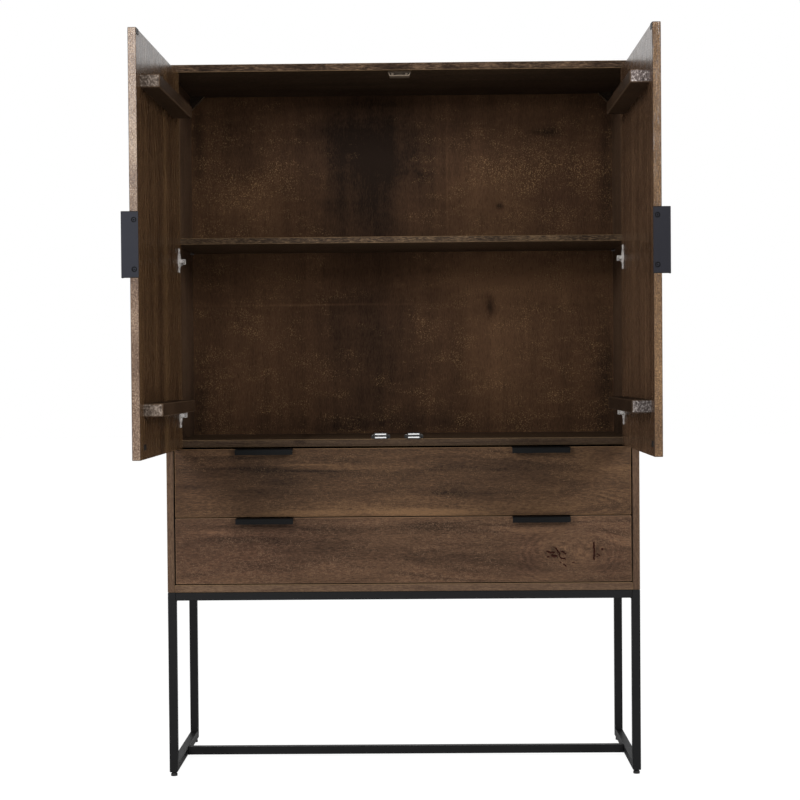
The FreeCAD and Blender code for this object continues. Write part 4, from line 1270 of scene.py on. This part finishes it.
def nail_recipe():
    recipe = Recipe("panel_nail", Head_Width=NAIL_WIDTH, Head_Height=NAIL_HEIGHT)
    half = recipe.times(recipe.given["Head_Width"], 0.5)
    narrow = recipe.times(half, NAIL_TOP)
    head = {"Radius Top": narrow, "Radius Bottom": half, "Depth": recipe.given["Head_Height"]}
    nail = recipe.add("MeshCone", {"Vertices": 12, **head})
    placed = {"Points": recipe.given["Plan"], "Instance": nail, "Rotation": recipe.turned()}
    recipe.close(recipe.add("InstanceOnPoints", placed))
    return recipe


def rim_places(low, high, step):
    """Places at even steps round a rectangle of X and Z, corners included."""
    across, tall = high.x - low.x, high.z - low.z
    columns, rows = round(across / step), round(tall / step)
    for index in range(columns + 1):
        for z in (low.z, high.z):
            yield low.x + across * index / columns, z
    for index in range(1, rows):
        for x in (low.x, high.x):
            yield x, low.z + tall * index / rows


low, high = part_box("back_panel")
margin = Vector((NAIL_EDGE, 0, NAIL_EDGE))
spots = [
    (Vector((x, high.y, z)), Vector((0, 1, 0)))
    for x, z in rim_places(low + margin, high - margin, NAIL_STEP)
]
nail_recipe().make("back_nails", plan_of_points("nail_spots", spots), "carcass", "plated_steel", zinc)

# %% [markdown]
# Where the stretcher and the top rails meet the side frames the tubes are welded. A bead
# follows the joint's edges, so its plan is a loop of edges round each tube's end. The tree
# turns them into curves, gives them a round section and lets a noise lift the ripples.

# %% Weld beads
BEAD_WIDTH = 3.2 * MM
RIPPLE_STEP = 2.2 * MM


def bead_recipe():
    recipe = Recipe("weld_bead", Bead_Width=BEAD_WIDTH, Ripple=RIPPLE_STEP)
    path = recipe.add("MeshToCurve", {0: recipe.given["Plan"]})
    close_step = recipe.times(recipe.given["Ripple"], 0.5)
    even = recipe.add("ResampleCurve", {"Curve": path, "Length": close_step}, mode="LENGTH")
    radius = recipe.times(recipe.given["Bead_Width"], 0.5)
    section = recipe.add("CurvePrimitiveCircle", {"Resolution": 8, "Radius": radius})
    tube = recipe.add("CurveToMesh", {"Curve": even, "Profile Curve": section, "Fill Caps": True})
    ripple = recipe.maths("DIVIDE", 1.0, recipe.given["Ripple"])
    place = recipe.add("InputPosition", {})
    wave = recipe.minus(recipe.noise(recipe.scale(place, ripple)), 0.5)
    lift = recipe.times(wave, recipe.given["Bead_Width"])
    offset = recipe.scale(recipe.add("InputNormal", {}), lift)
    recipe.close(recipe.add("SetPosition", {"Geometry": tube, "Offset": offset}))
    return recipe


def loop_round(x, low, high):
    """The four edges round a tube's end that looks along X."""
    corners = [
        Vector((x, low.y, low.z)), Vector((x, high.y, low.z)),
        Vector((x, high.y, high.z)), Vector((x, low.y, high.z)),
    ]
    return list(zip(corners, corners[1:] + corners[:1]))


bead_lines = []
low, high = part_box("foot_stretcher")
tube_size = high.z - low.z
inset = BEAD_WIDTH / 2
for x in (low.x + inset, high.x - inset):
    bead_lines += [line for line in loop_round(x, low, high) if line[0].z + line[1].z > 2 * low.z]
for name in ("top_rail_front", "top_rail_rear"):
    low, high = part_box(name)
    outer_y, way = (low.y, 1) if low.y < 0 else (high.y, -1)
    inner_y = outer_y + way * tube_size
    for x in (low.x + inset, high.x - inset):
        outer, inner = outer_y + way * inset, inner_y - way * inset
        bead_lines.append((Vector((x, outer, low.z)), Vector((x, inner, low.z))))
        bead_lines.append((Vector((x, inner_y, low.z)), Vector((x, inner_y, high.z - inset))))
plan = plan_of_lines("bead_paths", bead_lines)
bead_recipe().make("weld_beads", plan, "carcass", "frame_steel", frame_coat)

# %% [markdown]
# Between the channels of a drawer slide run rows of steel balls. Placing each ball would mean
# hundreds of points, so the plan is one line for each row, and the tree puts a ball at every
# step along it. A row is how far it lies off the wall, how far above and below the slide's
# middle, and how wide its balls are. Balls travel with the middle channel, so they ride on it.

# %% Ball rows of the slides
BALL_STEP = 16 * MM
ROW_ENDS = (-160 * MM, 60 * MM)
BALL_ROWS = ((6.5 * MM, 20.1 * MM, 2.2 * MM), (8.2 * MM, 15.9 * MM, 3.6 * MM))


def ball_recipe():
    recipe = Recipe("ball_row", Ball_Width=3 * MM, Step=BALL_STEP)
    lines = recipe.add("MeshToCurve", {0: recipe.given["Plan"]})
    spots = recipe.add("CurveToPoints", {"Curve": lines, "Length": recipe.given["Step"]}, mode="LENGTH")
    radius = recipe.times(recipe.given["Ball_Width"], 0.5)
    ball = recipe.add("MeshIcoSphere", {"Radius": radius, "Subdivisions": 2})
    recipe.close(recipe.add("InstanceOnPoints", {"Points": spots, "Instance": ball}))
    return recipe


ball_row = ball_recipe()
for level, middle in slide_heights.items():
    for row, (off_wall, rise, width) in enumerate(BALL_ROWS):
        lines = [
            [Vector((side * (wall - off_wall), y, middle + step * rise)) for y in ROW_ENDS]
            for side in (-1, 1) for step in (-1, 1)
        ]
        plan = plan_of_lines(f"ball_lines_{level}_{row}", lines)
        name = f"slide_balls_{'outer' if row == 0 else 'inner'}_{level}"
        ball_row.make(name, plan, f"slide_runners_{level}", "plated_steel", zinc, Ball_Width=width)

# %% [markdown]
# The lower front has two knots that cracked as the board dried. Paint alone would look flat
# when the light moves, so the cracks are carved. The cutter comes first: for each crack a
# thin closed trench with jagged sides, which follows pixels of the photograph. A crack is its
# pixels, its width and its depth in millimetres.

# %% A cutter with a trench for each crack
CRACKS = (
    (((546.0, 550.8), (551.0, 552.7), (555.0, 551.9)), 4.9, 3.0),
    (((555.2, 547.7), (557.4, 550.5), (559.3, 553.3), (559.3, 556.3)), 4.2, 2.6),
    (((560.4, 551.1), (563.8, 552.4), (566.3, 554.4)), 3.9, 2.6),
    (((547.1, 557.4), (549.5, 556.2)), 5.0, 2.4),
    (((551.0, 554.7), (554.3, 556.1), (557.4, 556.3)), 5.8, 3.0),
    (((559.3, 556.3), (561.0, 558.6), (563.8, 558.4), (566.0, 559.4)), 4.2, 2.6),
    (((559.3, 561.9), (561.6, 563.0)), 2.6, 1.6),
    (((563.2, 564.1), (564.9, 565.2), (566.6, 566.9)), 3.9, 2.2),
    (((552.1, 546.6), (555.2, 547.7)), 2.3, 1.6),
    (
        ((594.1, 541.3), (593.5, 546.3), (594.3, 549.1), (594.1, 554.1), (593.8, 557.4), (594.1, 560.5)),
        4.4, 3.0,
    ),
    (((602.2, 547.9), (602.0, 550.6)), 6.5, 2.6),
    (((596.3, 554.1), (598.8, 554.4), (600.4, 556.3)), 3.2, 1.8),
    (((596.0, 557.5), (598.8, 555.4)), 2.6, 1.6),
    (((572.1, 562.7), (574.9, 561.9)), 3.6, 1.4),
)
CRACK_STEPS = 3
CRACK_OPEN = 1.2
CRACK_JAG = 0.2
CRACK_SWELL = (0.9, 1.3)
CRACK_END = 0.5
ABOVE_FACE = Vector((0, -1 * MM, 0))


def carve_trench(cutter, pixels, wide, deep, chance):
    """A thin trench with jagged sides along pixels of the front's face, closed all round."""
    route = [seen_at(*pixel, front_face) for pixel in pixels]
    spots = []
    for start, end in zip(route, route[1:]):
        across = Vector((start.z - end.z, 0, end.x - start.x)).normalized()
        for step in range(CRACK_STEPS):
            jag = across * chance.uniform(-CRACK_JAG, CRACK_JAG) * wide
            spots.append((start.lerp(end, step / CRACK_STEPS) + jag, across))
    spots.append((route[-1], across))
    rings = []
    for index, (spot, across) in enumerate(spots):
        taper = CRACK_END if index in (0, len(spots) - 1) else chance.uniform(*CRACK_SWELL)
        side = across * wide / 2 * taper
        bottom = spot + Vector((0, deep * taper, 0))
        corners = (spot + side + ABOVE_FACE, spot - side + ABOVE_FACE, bottom)
        rings.append([cutter.verts.new(corner) for corner in corners])
    for one, two in zip(rings, rings[1:]):
        for a, b in ((0, 1), (1, 2), (2, 0)):
            cutter.faces.new((one[a], one[b], two[b], two[a]))
    cutter.faces.new(rings[0])
    cutter.faces.new(rings[-1])


chance = random.Random(3)
cutter_skin = bmesh.new()
for pixels, wide, deep in CRACKS:
    carve_trench(cutter_skin, pixels, CRACK_OPEN * wide * MM, deep * MM, chance)
bmesh.ops.recalc_face_normals(cutter_skin, faces=cutter_skin.faces)
cutter_mesh = bpy.data.meshes.new("crack_cutter")
cutter_skin.to_mesh(cutter_mesh)
cutter_skin.free()
print("cutter of", len(CRACKS), "trenches with", len(cutter_mesh.polygons), "faces")

# %% [markdown]
# A Boolean takes the cutter out of a copy of the board. Sculpting could do it too, but a
# Boolean gives the same cut each run. The board's mesh is loose triangles, so the copy is
# merged to one skin first. The inside of a crack is dark red-brown, partly the wood's own
# colour there and partly painted shade deep in the narrow crack, and it comes over from the
# cutter as a second material.

# %% Carve the cracks of the lower drawer front
MERGE_WITHIN = 0.002 * MM


def plain_copy(name, node):
    """A copy of a CAD node's mesh whose loose triangles are merged to one skin."""
    skin = bmesh.new()
    skin.from_mesh(nodes[node].data)
    bmesh.ops.remove_doubles(skin, verts=skin.verts, dist=MERGE_WITHIN)
    mesh = bpy.data.meshes.new(name)
    skin.to_mesh(mesh)
    skin.free()
    return mesh


# Dark red-brown inside the cracks: partly the wood's own colour, partly painted shade deep in them.
crack_inside = Finish("crack_resin", Roughness=0.7, Specular_IOR_Level=0.2)
blots = crack_inside.mottle((900, 900, 900), 3)
crack_inside.set(Base_Color=crack_inside.ramp(blots, [(0.35, tint(30, 13, 8)), (0.65, tint(66, 30, 18))]))

cutter_mesh.materials.append(crack_inside.material)
cutter = add_object("crack_cutter", cutter_mesh)
board_mesh = plain_copy("front_board", "drawer_front_lower")
board_mesh.materials.clear()
board_mesh.materials.append(woods["drawer_front_lower"])
board = add_object("front_board", board_mesh)
carving = board.modifiers.new("cracks", "BOOLEAN")
carving.object = cutter
carving.solver = "EXACT"
carving.use_self = True
carving.material_mode = "TRANSFER"
carved_mesh = plain_mesh(board)
bpy.data.objects.remove(cutter)
carved_front = add_object("carved_front_lower", carved_mesh)
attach(carved_front, "drawer_lower")
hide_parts("drawer_front_lower")
print(len(CRACKS), "cracks carved, leaving", len(carved_mesh.polygons), "faces")

# %% [markdown]
# The box of what is shown must be the box that the CAD gives.
